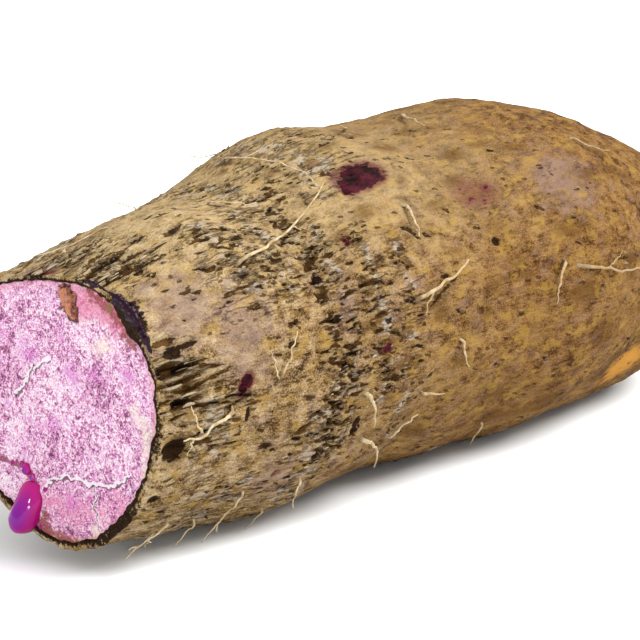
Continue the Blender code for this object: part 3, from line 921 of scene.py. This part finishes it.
def flesh_fields(flat, reach, turn):
    """How strong each mark is at places on the cut; reach is 0 at its middle and 1 at its edge."""
    y, z = flat[..., 1], flat[..., 2]
    wavy = y + 0.8 * MM * rough(flat, 1.9 * MM, shift=11.0)
    waved = z + 0.8 * MM * rough(flat, 1.9 * MM, shift=15.0)
    low_side = np.exp(-(around_gap(np.degrees(turn), -45) / 62) ** 2)
    return {
        "crack": np.max([stroke(wavy, waved, path, 0.46 * MM) for path in CRACKS], axis=0),
        "gap": np.max([stroke(wavy, waved + 0.7 * MM, path, 0.28 * MM) for path in CRACKS], axis=0),
        "red": np.max([stroke(wavy, waved, RED_RIM, 2.4 * MM), stroke(wavy, waved, RED_LOW, 3.0 * MM),
                       stroke(y, z, RED_PATCH, 2.0 * MM), stroke(y, z, RED_FAR_RIM, 1.8 * MM)], axis=0),
        "pink": np.maximum(stroke(wavy, waved, PINK_ZONE, 4.6 * MM),
                           0.5 * stroke(wavy, waved, LOWER_PINK, 6.5 * MM)),
        "tongue": stroke(wavy, waved, ROOT_TRACE, 3.0 * MM, 3.4 * MM, 2.6 * MM, 1.1 * MM),
        "core": stroke(wavy, waved, ROOT_TRACE, 2.2 * MM, 2.5 * MM, 1.8 * MM, 0.5 * MM),
        "cream": np.max([stroke(y, z, path, 3.4 * MM) for path in CREAM_PATCHES], axis=0),
        "blotch": np.max([stroke(wavy, waved, path, 3.0 * MM) for path in BLOTCHES], axis=0),
        "spot": stroke(y, z, GREEN_SPOT, 1.2 * MM),
        "juice": stroke(wavy, waved, JUICE_TRAIL, 0.8 * MM, 1.7 * MM),
        "brown": smooth_step(0.972, 0.995, reach),
        "edge": smooth_step(0.84, 1.0, reach),
        "border": smooth_step(0.93, 0.97, reach) * (0.35 + 0.65 * low_side),
    }


def flesh_relief(flat, fields):
    """How far the flesh stands up: sawn roughness, raised cracks and the sunken root trace."""
    tongue = smooth_step(0.35, 0.7, fields["tongue"])
    core = smooth_step(0.35, 0.8, fields["core"])
    relief = 0.14 * MM * rough(flat, 1.0 * MM) + 0.34 * MM * rough(flat, 3.5 * MM, shift=2.0)
    relief += 0.35 * MM * rough(flat, 14 * MM, shift=4.0) + 0.3 * MM * fields["crack"] + 0.9 * MM * core
    return relief - (0.5 * MM * (tongue - core).clip(0, 1) + 0.3 * MM * fields["gap"])


def flesh_material(settings):
    """Raw yam flesh: starch grains, white to pale pink, between cells full of purple sap, sawn
    through and wet, so it glistens in points."""
    material, tree, shader, place = new_material("raw yam flesh")
    # Lump size in millimetres, detail, roughness
    patterns = {}
    for name, size, detail, roughness in (
        ("grain", 0.46, 2, 0.6), ("fleck", 1.0, 4, 0.7), ("blotch", 3.4, 5, 0.7), ("zone", 20, 2, 0.5),
        ("strand", 1.5, 5, 0.7), ("wet", 0.7, 2, 0.5),
    ):
        spot = add_node(tree, "ShaderNodeMapping", {"Vector": place, "Location": (size, 2 * size, 0)})
        spread = noise_node(tree, spot.outputs["Vector"], size * MM, detail, roughness)
        patterns[name] = spread.outputs["Fac"]
    marks = read_marks(tree, FLESH_MARKS)

    # Tone runs from cells full of sap to bare starch
    tone = patterns["grain"]
    for other, share in (("fleck", 1.00), ("blotch", 0.90), ("zone", 0.45)):
        tone = add_pattern(tree, tone, patterns[other], share)
    base = (*settings.sap_colour, 1)
    for colour, low, high in (
        (settings.fleck_colour, 0.24, 0.35), (settings.flesh_colour, 0.37, 0.48),
        (settings.starch_colour, 0.51, 0.62),
    ):
        base = mix(tree, ramp(tree, tone, low, high), base, (*colour, 1))

    masks = {}
    for name, pattern, low, high in (("magenta", "blotch", 0.53, 0.66), ("warm", "strand", 0.58, 0.68),
                                     ("rose", "strand", 0.44, 0.34)):
        masks[name] = ramp(tree, patterns[pattern], low, high)
    # Soft marks sharpened along ragged edges: mark, raggedness, pattern, low, high
    for name, share, pattern, low, high in (
        ("edge", 0.9, "blotch", 0.30, 0.95), ("border", 1.1, "strand", 0.40, 0.75),
        ("cream", 2.4, "strand", 0.45, 1.20), ("pink", 1.8, "blotch", 0.20, 0.9),
        ("blotch", 3.0, "fleck", 0.55, 1.1), ("red", 2.8, "strand", 0.45, 0.95),
        ("crack", 0.9, "fleck", 0.30, 0.60), ("gap", 1.5, "fleck", 0.45, 0.75),
        ("tongue", 0.9, "strand", 0.40, 0.55), ("core", 3.4, "fleck", 0.30, 1.0),
        ("spot", 0.8, "fleck", 0.40, 0.60), ("juice", 1.2, "fleck", 0.35, 0.65),
        ("brown", 1.6, "strand", 0.40, 0.70),
    ):
        broken = add_pattern(tree, marks[name], patterns[pattern], share)
        masks[name] = ramp(tree, broken, low, high, kind="SMOOTHSTEP")
    base = cover(tree, base, masks, (
        ("magenta", settings.blotch_colour, 0.55), ("warm", settings.cream_colour, 0.45),
        ("rose", settings.pink_colour, 0.40), ("edge", settings.edge_colour, 0.60),
        ("cream", settings.cream_colour, 0.75), ("pink", settings.pink_colour, 0.75),
        ("blotch", settings.blotch_colour, 0.45), ("crack", settings.starch_colour, 0.85),
        ("gap", settings.rind_colour, 0.80), ("border", settings.border_colour, 0.70),
        ("red", settings.red_colour, 0.85), ("brown", settings.rind_colour, 0.85),
        ("juice", settings.juice_colour, 0.85), ("tongue", settings.rind_colour, 0.95),
        ("core", settings.core_colour, 0.92), ("spot", settings.spot_colour, 0.9),
    ))
    tree.links.new(base, shader.inputs["Base Color"])
    raise_relief(tree, shader, (
        (patterns["grain"], 0.20 * MM), (patterns["fleck"], 0.45 * MM), (patterns["blotch"], 0.9 * MM),
    ))
    tree.links.new(ramp(tree, patterns["wet"], 0.4, 0.6, 0.16, 0.55), shader.inputs["Roughness"])
    shader.inputs["IOR"].default_value = 1.37
    shader.inputs["Subsurface Weight"].default_value = 0.12
    shader.inputs["Subsurface Radius"].default_value = (1.0, 0.6, 0.8)
    shader.inputs["Subsurface Scale"].default_value = 0.6 * MM
    return material


class YamFlesh(bpy.types.PropertyGroup):
    """Colours of the cut flesh."""
    flesh_colour: bpy.props.FloatVectorProperty(
        name="Flesh", description="Cut flesh", subtype="COLOR", default=seen_on_cut("e9aad2"))
    starch_colour: bpy.props.FloatVectorProperty(
        name="Starch", description="Starch grains", subtype="COLOR", default=seen_on_cut("fff6fc"))
    fleck_colour: bpy.props.FloatVectorProperty(
        name="Flecks", description="Cells with sap", subtype="COLOR", default=seen_on_cut("b8609e"))
    blotch_colour: bpy.props.FloatVectorProperty(
        name="Blotches", description="Patches full of sap", subtype="COLOR", default=seen_on_cut("d23cc2"))
    cream_colour: bpy.props.FloatVectorProperty(
        name="Cream", description="Patches without sap", subtype="COLOR", default=seen_on_cut("fdeedd"))
    rind_colour: bpy.props.FloatVectorProperty(
        name="Root Trace Edge", description="Dark skin of the root trace", subtype="COLOR",
        default=seen_on_cut("4c1a12"))
    pink_colour: bpy.props.FloatVectorProperty(
        name="Pink", description="Pink flesh round the root trace", subtype="COLOR",
        default=seen_on_cut("e27a9c"))
    border_colour: bpy.props.FloatVectorProperty(
        name="Border", description="Dried flesh just inside the bark", subtype="COLOR",
        default=seen_on_cut("e6c094"))
    spot_colour: bpy.props.FloatVectorProperty(
        name="Spot", description="A dried spot by the rim", subtype="COLOR", default=seen_on_cut("8c6238"))
    core_colour: bpy.props.FloatVectorProperty(
        name="Root Trace", description="Inside of the root trace", subtype="COLOR",
        default=seen_on_cut("cc8058"))
    sap_colour: bpy.props.FloatVectorProperty(
        name="Sap", description="Darkest flecks", subtype="COLOR", default=seen_on_cut("5e1e4a"))
    edge_colour: bpy.props.FloatVectorProperty(
        name="Edge", description="Flesh under the bark", subtype="COLOR", default=seen_on_cut("e294b0"))
    red_colour: bpy.props.FloatVectorProperty(
        name="Browned", description="Flesh that has browned", subtype="COLOR",
        default=seen_on_cut("8e3428"))
    juice_colour: bpy.props.FloatVectorProperty(
        name="Juice Stain", description="Flesh stained by juice", subtype="COLOR",
        default=seen_on_cut("8a1446"))


class YAM_OT_flesh(bpy.types.Operator):
    """Fill the cut with flesh: a fine sheet with its grain, cracks and stains"""
    bl_idname = "yam.flesh"
    bl_label = "Cut Flesh"

    def execute(self, context):
        shape = bmesh.new()
        bmesh.ops.create_grid(shape, x_segments=FLESH_GRID, y_segments=FLESH_GRID, size=1)
        square = np.array([vertex.co[:2] for vertex in shape.verts])
        across = square[:, 0] * np.sqrt(1 - square[:, 1] ** 2 / 2)
        rise = square[:, 1] * np.sqrt(1 - square[:, 0] ** 2 / 2)
        reach = np.clip(np.hypot(across, rise), 0, 1)
        turn = np.arctan2(rise, across)
        outline = tuber_radius(0.0, np.degrees(turn)) - 0.5 * context.scene.yam_bark.thickness
        y = CUT_MIDDLE.y - np.cos(turn) * outline * reach
        z = CUT_MIDDLE.z + np.sin(turn) * outline * reach
        flat = np.stack((0 * y, y, z), axis=-1)
        fields = flesh_fields(flat, reach, turn)
        sink = FLESH_BEHIND - flesh_relief(flat, fields) + 0.5 * MM * smooth_step(0.97, 1.0, reach)
        x = cut_x(z) + np.maximum(sink, -0.5 * MM)
        for vertex, place in zip(shape.verts, np.stack((x, y, z), axis=-1).tolist()):
            vertex.co = place
        border = [edge for edge in shape.edges if edge.is_boundary]
        wall = bmesh.ops.extrude_edge_only(shape, edges=border)["geom"]
        rim = [part for part in wall if isinstance(part, bmesh.types.BMVert)]
        for vertex in rim:
            vertex.co.y += (CUT_MIDDLE.y - vertex.co.y) * 0.08
            vertex.co.z += (CUT_MIDDLE.z - vertex.co.z) * 0.08
            vertex.co.x = cut_x(vertex.co.z) + FLESH_DEPTH
        back = [part for part in wall if isinstance(part, bmesh.types.BMEdge)
                and part.is_boundary]
        bmesh.ops.contextual_create(shape, geom=back)
        bmesh.ops.recalc_face_normals(shape, faces=shape.faces)
        fields = {name: np.pad(values, (0, len(rim))) for name, values in fields.items()}
        material = flesh_material(context.scene.yam_flesh)
        show_piece("cut_flesh", shape, material, ("tuber",), fields)
        return {"FINISHED"}


# ---- Juice and dried sap ----

# Droplets beside the bead: across and up in millimetres, radius
DROPLETS = (
    (6.8, 23.1, 1.3), (4.6, 21.4, 0.9), (8.4, 24.2, 0.7), (0.4, 19.1, 0.6), (11.7, 24.0, 0.5),
    (1.6, 18.6, 0.4), (2.2, 8.8, 0.5),
)
# Runs of dried sap along the rim: first and last angle, thickness and distance behind the cut
# in millimetres
SAP_RUNS = (
    (36, 57, 1.7, 0.6), (38, 55, 1.5, 2.6), (40, 48, 1.1, 4.2), (28, 42, 1.0, 0.3),
    (56, 70, 0.8, 0.4),
)
SAP_STEPS = 30


def wet_material(name, colour, thin_colour, roughness, shine):
    """Fresh sap: thick and slimy, deep where it is thick and clear at its edges, with a
    mirror-smooth skin from its own surface tension."""
    material, tree, shader, _ = new_material(name)
    thick = add_node(tree, "ShaderNodeAttribute", attribute_name="thick").outputs["Fac"]
    mixed = mix(tree, ramp(tree, thick, 0.45, 1.05), (*thin_colour, 1), (*colour, 1))
    tree.links.new(mixed, shader.inputs["Base Color"])
    shader.inputs["Roughness"].default_value = roughness
    shader.inputs["IOR"].default_value = 1.38
    shader.inputs["Specular IOR Level"].default_value = shine
    return material


class YamJuice(bpy.types.PropertyGroup):
    """The bead of juice."""
    height: bpy.props.FloatProperty(
        name="Height", description="The bead of juice, top to bottom", default=14 * MM, unit="LENGTH")
    width: bpy.props.FloatProperty(
        name="Width", description="The bead of juice, across", default=9.0 * MM, unit="LENGTH")
    lean: bpy.props.FloatProperty(
        name="Lean", description="How far its top leans sideways", default=1.8 * MM, unit="LENGTH")
    sag: bpy.props.FloatProperty(
        name="Sag", description="How much thicker it hangs at the bottom", default=0.6)
    depth: bpy.props.FloatProperty(
        name="Depth", description="How far it stands out of the cut", default=4.0 * MM, unit="LENGTH")
    colour: bpy.props.FloatVectorProperty(
        name="Juice", description="Thick juice", subtype="COLOR", default=seen_on_cut("7c0e92"))
    thin_colour: bpy.props.FloatVectorProperty(
        name="Thin Juice", description="Juice at its thin edges", subtype="COLOR",
        default=seen_on_cut("bc127c"))
    crust_colour: bpy.props.FloatVectorProperty(
        name="Sap Crust", description="Dried sap", subtype="COLOR", default=seen("2a0620"))


def add_drop(shape, centre, width, height, depth, lean, sag, ragged):
    """One rounded drop whose back is sunk in the flesh; returns how thick it is at each vertex."""
    ball = bmesh.ops.create_uvsphere(shape, u_segments=36, v_segments=24, radius=1)["verts"]
    thick = {}
    for vertex in ball:
        across, out, up = vertex.co
        blunt = (1 - min(up * up, 0.98)) ** -0.15
        wave = blunt * (1 + ragged * noise.noise(Vector((1.6 * across, centre[0], 1.6 * up))))
        y = centre[0] + across * 0.5 * width * (1 - 0.06 * up) * wave - lean * up
        z = centre[1] + up * 0.5 * height
        front = out * (depth if out > 0 else 0.8 * MM) * (1 - sag * up) * wave
        thick[vertex] = max(out, 0) * (1 - 0.3 * up)
        vertex.co = (cut_x(z) + FLESH_BEHIND - front, y, z)
    return thick


class YAM_OT_juice(bpy.types.Operator):
    """Set the bead of juice, its droplets and the crust of dried sap on the cut"""
    bl_idname = "yam.juice"
    bl_label = "Add Juice"

    def execute(self, context):
        settings = context.scene.yam_juice
        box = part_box("juice_bead")
        middle = (box[0] + box[1]) / 2
        shape = bmesh.new()
        thick = add_drop(shape, (middle.y, middle.z), settings.width, settings.height,
                         settings.depth, settings.lean, settings.sag, 0.10)
        for y, z, radius in DROPLETS:
            thick |= add_drop(shape, (y * MM, z * MM), 2 * radius * MM, 2.4 * radius * MM,
                              0.8 * radius * MM, 0.0, 0.2, 0.3)
        bmesh.ops.recalc_face_normals(shape, faces=shape.faces)
        juice = wet_material("fresh yam juice", settings.colour, settings.thin_colour, 0.02, 0.3)
        show_piece("juice_drop", shape, juice, ("juice_bead",),
                   {"thick": [thick[vertex] for vertex in shape.verts]})

        crust = bmesh.new()
        shares = {}
        for first, last, size, behind in SAP_RUNS:
            angles = np.linspace(first, last, SAP_STEPS)
            swell = np.sin(np.linspace(0.05, math.pi - 0.05, SAP_STEPS)) ** 0.7
            along_rim = np.stack((angles * 0.9 * MM, behind + 0 * angles, 0 * angles), axis=-1)
            radii = size * MM * swell * (1 + 0.7 * rough(along_rim, 2.4 * MM))
            points = skin_points(0.0, angles, 0.1 * MM) + np.array((behind * MM, 0, 0))
            shares |= sweep(crust, points, radii, 12, 0.75, Vector((-1, 0, 0)))
        bmesh.ops.recalc_face_normals(crust, faces=crust.faces)
        dried = wet_material("dried yam sap", settings.crust_colour, settings.crust_colour, 0.3, 0.2)
        show_piece("sap_crust", crust, dried, (),
                   {"thick": [shares[vertex] for vertex in crust.verts]})
        return {"FINISHED"}


# ---- Strands: hair roots and loose fibres ----

ROOT_STEPS = 26              # points along a hair root
STRAND_SIDES = 7             # and round it


def sweep(shape, points, radii, sides, flat, facing):
    """A capped strand: a disc extruded from each point to the next, thin across its facing
    direction; returns each vertex's share of the way along."""
    points = [Vector(point) for point in np.asarray(points).tolist()]
    facings = [facing] * len(points) if isinstance(facing, Vector) else facing
    frames = []
    for index, point in enumerate(points):
        ahead = (points[min(index + 1, len(points) - 1)] - points[max(index - 1, 0)]).normalized()
        aside = ahead.cross(facings[index]).normalized()
        frames.append((point, aside, aside.cross(ahead)))
    disc = bmesh.ops.create_circle(shape, cap_ends=True, segments=sides, radius=1)["verts"]
    local = {vertex: (vertex.co.x, vertex.co.y) for vertex in disc}
    face = disc[0].link_faces[0]
    shares = {}
    for index, (point, aside, above) in enumerate(frames):
        if index:
            old = {tuple(vertex.co): place for vertex, place in local.items()}
            fresh = bmesh.ops.extrude_face_region(shape, geom=[face])["geom"]
            face = next(part for part in fresh if isinstance(part, bmesh.types.BMFace))
            local = {vertex: old[tuple(vertex.co)] for vertex in fresh
                     if isinstance(vertex, bmesh.types.BMVert)}
        for vertex, (u, v) in local.items():
            wave = 1 + 0.22 * noise.noise(point * 700 + Vector((2 * u, 2 * v, 0)))
            vertex.co = point + (aside * u + above * v * flat) * float(radii[index]) * wave
            vertex.co.z = max(vertex.co.z, 0)
            shares[vertex] = index / (len(frames) - 1)
    return shares


def far_roots():
    """Bases of the hair roots on the side that faces away, as in the model."""
    bases = []
    for index in range(FAR_ROOTS):
        share = index / (FAR_ROOTS - 1)
        station = FAR_FIRST + (FAR_LAST - FAR_FIRST) * share
        angle = FAR_LOW + (FAR_HIGH - FAR_LOW) * (index * GOLDEN % 1)
        heading = 360 * (index * GOLDEN * GOLDEN % 1)
        length = (9 + 3 * (index % 4)) * MM
        bases.append((station, angle, heading, length, 2.4 * MM, 40 - 80 * (index % 2), 1.2 * MM))
    return bases


def root_track(base, start_height=0.0):
    """Where a hair root goes: station, angle, heading and height at each step."""
    station, angle, heading, length, lift, curl, _ = base
    track = []
    step = length / (ROOT_STEPS - 1)
    for index in range(ROOT_STEPS):
        share = index / (ROOT_STEPS - 1)
        turned = heading + curl * share ** 2
        track.append((station, angle, turned, start_height + lift * share ** 1.6))
        turn = math.radians(turned)
        station += step * math.cos(turn) / LENGTH
        around = max(float(tuber_radius(station, angle)), 0.2 * BODY_RADIUS)
        angle += math.degrees(step * math.sin(turn) / around)
    return track


def root_points(track, thickness, sunk, kink, seed):
    """Points of a hair root along its track, with kinks, the base sunk in the bark."""
    points = []
    facings = []
    for index, (station, angle, _, height) in enumerate(track):
        share = index / (len(track) - 1)
        out = outward(angle)
        settle = -sunk * max(1 - 9 * share, 0)
        stand = 0.5 * thickness + 0.35 * MM + height + settle
        point = Vector(skin_points(station, angle).tolist()) + out * stand
        place = Vector((index * 0.19, seed * 3.7, 0.5))
        shake = noise.noise_vector(place) + 0.45 * noise.noise_vector(place * 2.7)
        shake -= out * min(shake.dot(out), 0)
        point += shake * kink * min(4 * share, 1)
        point.z = max(point.z, 0.5 * thickness)
        points.append(point[:])
        facings.append(out)
    return points, facings


def root_material(settings):
    """Dried hair root: straw-coloured and brittle, wrinkled lengthwise as it shrank, brown
    where it leaves the bark."""
    material, tree, shader, place = new_material("dried yam hair root")
    share = add_node(tree, "ShaderNodeAttribute", attribute_name="share").outputs["Fac"]
    blotch = noise_node(tree, place, 2.4 * MM, 4).outputs["Fac"]
    wrinkle = noise_node(tree, place, 0.5 * MM, 3).outputs["Fac"]
    base = mix(tree, ramp(tree, blotch, 0.35, 0.62), (*settings.shade_colour, 1),
               (*settings.root_colour, 1))
    # Browner towards the tip, and darkest where the root leaves the bark
    split_place = add_node(tree, "ShaderNodeSeparateXYZ", {0: place})
    browner = ramp(tree, split_place.outputs["X"], -0.08, 0.03, end=0.72)
    base = mix(tree, browner, base, (*settings.tan_colour, 1))
    near = calculate(tree, "MULTIPLY_ADD", blotch, 0.3, share)
    base = mix(tree, ramp(tree, near, 0.30, 0.14, end=0.8), base, (*settings.base_colour, 1))
    tree.links.new(base, shader.inputs["Base Color"])
    raise_relief(tree, shader, ((wrinkle, 0.18 * MM),))
    shader.inputs["Roughness"].default_value = 0.62
    shader.inputs["Specular IOR Level"].default_value = 0.4
    return material


class YamRoots(bpy.types.PropertyGroup):
    """Sizes and colours of the hair roots."""
    flatness: bpy.props.FloatProperty(
        name="Flatness", description="How round a dried root is, thickness against width",
        default=0.55, subtype="FACTOR", min=0.1, max=1)
    slimness: bpy.props.FloatProperty(
        name="Slimness", description="Thickness of the dried roots against the model's",
        default=0.86)
    kink: bpy.props.FloatProperty(
        name="Kinks", description="How far a dried root strays from a smooth line",
        default=0.9 * MM, unit="LENGTH")
    root_colour: bpy.props.FloatVectorProperty(
        name="Root", description="Dried root", subtype="COLOR", default=seen("f6dfb2"))
    shade_colour: bpy.props.FloatVectorProperty(
        name="Root Shade", description="Darker stretches", subtype="COLOR", default=seen("cba76c"))
    tan_colour: bpy.props.FloatVectorProperty(
        name="Tan Root", description="Roots towards the tip", subtype="COLOR", default=seen("b88e54"))
    base_colour: bpy.props.FloatVectorProperty(
        name="Root Base", description="Where the root leaves the bark", subtype="COLOR",
        default=seen("5f3f22"))


class YAM_OT_roots(bpy.types.Operator):
    """Grow the dried hair roots, one piece for each root of the model"""
    bl_idname = "yam.roots"
    bl_label = "Grow Hair Roots"

    def execute(self, context):
        settings = context.scene.yam_roots
        noise.seed_set(SEED)     # the kinks would otherwise come from the clock
        dried = root_material(settings)
        for index, base in enumerate(list(HAIR_ROOTS) + far_roots()):
            thickness = base[-1]
            track = root_track(base)
            strands = [(track, thickness, 0.9 * MM + thickness)]
            for parent, share, turn, length in SIDE_ROOTLETS:
                if parent == index:
                    station, angle, heading, height = track[round(share * (ROOT_STEPS - 1))]
                    side = (station, angle, heading + turn, length, 1.2 * MM, 0.2 * turn, 0.7 * thickness)
                    strands.append((root_track(side, height), 0.6 * thickness, 0.0))
            shape = bmesh.new()
            shares = {}
            for number, (path, thick, sunk) in enumerate(strands):
                kink = min(settings.kink, 0.06 * base[3])
                points, facings = root_points(path, thick, sunk, kink, 10 * index + number)
                run = np.linspace(0, 1, len(points))
                swell = (1 - (1 - ROOT_TAPER) * run) * (1 + 0.5 * np.exp(-run / 0.06))
                radii = 0.5 * settings.slimness * thick * swell
                shares |= sweep(shape, points, radii, STRAND_SIDES, settings.flatness, facings)
            bmesh.ops.recalc_face_normals(shape, faces=shape.faces)
            name = f"hair_root_{index + 1:02d}"
            show_piece(f"dried_root_{index + 1:02d}", shape, dried, (name,),
                       {"share": [shares[vertex] for vertex in shape.verts]})
        return {"FINISHED"}


# ---- Flakes of bark ----

FLAKE_THICKNESS = 0.15 * MM
FLAKE_SHARE = 0.42           # flakes for each fissure of a band


def flake_material(settings):
    """Loose flakes of cork: the outermost, driest layer, faded pale, with browner undersides."""
    material, tree, shader, place = new_material("loose cork flake")
    tone = add_node(tree, "ShaderNodeAttribute", attribute_name="tone").outputs["Fac"]
    speck = noise_node(tree, place, 0.6 * MM, 3).outputs["Fac"]
    shade = calculate(tree, "MULTIPLY_ADD", speck, 0.8, tone)
    mixed = mix(tree, ramp(tree, shade, 0.35, 1.2), (*settings.near_dark, 1), (*settings.lip_colour, 1))
    tree.links.new(mixed, shader.inputs["Base Color"])
    shader.inputs["Roughness"].default_value = 0.8
    shader.inputs["Specular IOR Level"].default_value = 0.3
    return material


def flake_frame(station, angle):
    """A spot on the skin, with its directions along, round and out of the skin."""
    middle = Vector(skin_points(station, angle).tolist())
    ahead = (Vector(skin_points(station + 0.002, angle).tolist()) - middle).normalized()
    aside = Vector(skin_points(station, angle + 1).tolist()) - middle
    aside = (aside - ahead * aside.dot(ahead)).normalized()
    above = ahead.cross(aside)
    return middle, ahead, aside, -above if above.dot(outward(angle)) < 0 else above


def add_flake(shape, template, station, angle, long, wide, curl, shift):
    """One flake, hinged along one side and tapered to both ends; returns how many vertices it adds."""
    middle, ahead, aside, above = flake_frame(station, angle)
    before = len(shape.verts)
    shape.from_mesh(template)
    shape.verts.ensure_lookup_table()
    for vertex in shape.verts[before:]:
        run, cross, side = vertex.co
        taper = 1 - 2.4 * run * run + 0.2 * noise.noise(Vector((shift, angle, 9 * run)))
        reach = (cross + 0.5) * wide * taper
        lift = reach * abs(math.sin(curl)) + FLAKE_THICKNESS * side - 0.05 * MM
        flat = reach * math.cos(curl) * math.copysign(1, curl)
        vertex.co = middle + ahead * run * long + aside * flat + above * lift
        vertex.co.z = max(vertex.co.z, 0)
    return len(shape.verts) - before


class YAM_OT_flakes(bpy.types.Operator):
    """Scatter curled flakes of bark beside the fissures"""
    bl_idname = "yam.flakes"
    bl_label = "Scatter Flakes"

    def execute(self, context):
        chance = np.random.default_rng(SEED + 1)
        template_shape = bmesh.new()
        bmesh.ops.create_cube(template_shape, size=1)
        long_edges = [edge for edge in template_shape.edges
                      if abs(edge.verts[0].co.x - edge.verts[1].co.x) > 0.5]
        bmesh.ops.subdivide_edges(template_shape, edges=long_edges, cuts=2, use_grid_fill=True)
        template = bpy.data.meshes.new("flake_template")
        template_shape.to_mesh(template)
        template_shape.free()
        shape = bmesh.new()
        tones = []
        for station, spread, low, high, count, length, width, _ in FISSURE_BANDS:
            for _ in range(round(FLAKE_SHARE * count)):
                place = max(station + chance.normal(0, 1.2 * spread), 0.004)
                angle = chance.uniform(low, high)
                long = length * chance.uniform(0.25, 0.7)
                wide = width * chance.uniform(0.35, 0.8)
                curl = math.radians(chance.uniform(8, 50)) * chance.choice((-1, 1))
                tone = chance.uniform(-0.1, 0.6)
                added = add_flake(shape, template, place, angle, long, wide, curl, station * 999)
                tones += [tone] * added
        bmesh.ops.recalc_face_normals(shape, faces=shape.faces)
        bpy.data.meshes.remove(template)
        show_piece("bark_flakes", shape, flake_material(context.scene.yam_bark), (),
                   {"tone": tones})
        return {"FINISHED"}


# ---- The stage ----

CAMERA_PLACE = Vector((-0.5389, -0.4022, 0.1867))
CAMERA_AIM = Vector((-0.0299, 0.0050, 0.0414))
KEY_FROM = Vector((0.24, -0.70, 1.0))
KEY_SPREAD = 36              # degrees of sky that the key light fills
# Small panes that glint in the wet: name, place, power and side
PANES = (
    ("pane_high", (-1.38, 0.05, 0.30), 3.5, 0.08),
    ("pane_low", (-1.38, -0.10, 0.07), 3.5, 0.08),
)


class YamStage(bpy.types.PropertyGroup):
    """Floor, light and view."""
    floor_size: bpy.props.FloatProperty(
        name="Floor", description="Side of the floor", default=14.0, unit="LENGTH")
    floor_colour: bpy.props.FloatVectorProperty(
        name="Floor Colour", description="Matt white board", subtype="COLOR", default=linear("f1f3f4"))
    sky: bpy.props.FloatProperty(
        name="Sky", description="Strength of the light from all round", default=1.05)
    key: bpy.props.FloatProperty(
        name="Key", description="Strength of the wide light from above", default=5.0)
    lens: bpy.props.FloatProperty(
        name="Lens", description="Focal length of the camera", default=131.96, subtype="DISTANCE_CAMERA")


class YAM_OT_stage(bpy.types.Operator):
    """Lay the floor, hang the lights and set the camera"""
    bl_idname = "yam.stage"
    bl_label = "Set Stage"

    def execute(self, context):
        scene = context.scene
        settings = scene.yam_stage
        shape = bmesh.new()
        bmesh.ops.create_grid(shape, x_segments=1, y_segments=1, size=0.5 * settings.floor_size)
        bmesh.ops.translate(shape, vec=(0, 0, -0.1 * MM), verts=shape.verts)
        data = bpy.data.meshes.new("floor")
        shape.to_mesh(data)
        shape.free()
        board, _, shader, _ = new_material("matt white board")
        shader.inputs["Base Color"].default_value = (*settings.floor_colour, 1)
        shader.inputs["Roughness"].default_value = 0.9
        shader.inputs["Specular IOR Level"].default_value = 0.1
        data.materials.append(board)
        floor = bpy.data.objects.new("floor", data)
        scene.collection.objects.link(floor)

        world = bpy.data.worlds.new("white room")
        world.use_nodes = True
        back = world.node_tree.nodes["Background"]
        back.inputs["Color"].default_value = (1, 1, 1, 1)
        back.inputs["Strength"].default_value = settings.sky
        scene.world = world

        sun = bpy.data.lights.new("key", "SUN")
        sun.energy = settings.key
        sun.angle = math.radians(KEY_SPREAD)
        lamps = [(sun, KEY_FROM)]
        for name, place, power, size in PANES:
            pane = bpy.data.lights.new(name, "AREA")
            pane.energy = power
            pane.size = size
            lamps.append((pane, Vector(place)))
        for light, place in lamps:
            lamp = bpy.data.objects.new(light.name, light)
            lamp.location = place
            lamp.rotation_euler = (place - CUT_MIDDLE).to_track_quat("Z", "Y").to_euler()
            scene.collection.objects.link(lamp)

        eye = bpy.data.cameras.new("camera")
        eye.lens = settings.lens
        eye.sensor_width = 36
        eye.clip_end = 50
        camera = bpy.data.objects.new("camera", eye)
        camera.location = CAMERA_PLACE
        aim = CAMERA_AIM - CAMERA_PLACE
        camera.rotation_euler = aim.to_track_quat("-Z", "Y").to_euler()
        scene.collection.objects.link(camera)
        scene.camera = camera
        scene.view_settings.view_transform = "Standard"
        return {"FINISHED"}


# ---- The add-on ----


class YAM_PT_panel(bpy.types.Panel):
    """The yam's settings and steps"""
    bl_idname = "YAM_PT_panel"
    bl_label = "Purple Yam"
    bl_space_type = "VIEW_3D"
    bl_region_type = "UI"
    bl_category = "Yam"

    def draw(self, context):
        for name, _, steps in GROUPS:
            box = self.layout.box()
            settings = getattr(context.scene, name)
            for field in type(settings).__annotations__:
                box.prop(settings, field)
            for step in steps:
                box.operator(step.bl_idname)


# The scene property, its settings and the steps that use them
GROUPS = (
    ("yam_bark", YamBark, (YAM_OT_bark, YAM_OT_flakes)),
    ("yam_flesh", YamFlesh, (YAM_OT_flesh,)),
    ("yam_juice", YamJuice, (YAM_OT_juice,)),
    ("yam_roots", YamRoots, (YAM_OT_roots,)),
    ("yam_stage", YamStage, (YAM_OT_stage,)),
)


def register():
    """Add the settings, the operators and the panel."""
    for name, group, steps in GROUPS:
        bpy.utils.register_class(group)
        setattr(bpy.types.Scene, name, bpy.props.PointerProperty(type=group))
        for step in steps:
            bpy.utils.register_class(step)
    bpy.utils.register_class(YAM_PT_panel)


def unregister():
    """Take them away again."""
    bpy.utils.unregister_class(YAM_PT_panel)
    for name, group, steps in GROUPS:
        for step in steps:
            bpy.utils.unregister_class(step)
        delattr(bpy.types.Scene, name)
        bpy.utils.unregister_class(group)


def main():
    """Build every piece in order."""
    register()
    bpy.ops.yam.bark()
    bpy.ops.yam.flakes()
    bpy.ops.yam.flesh()
    bpy.ops.yam.juice()
    bpy.ops.yam.roots()
    bpy.ops.yam.stage()


if __name__ == "__main__":
    main()
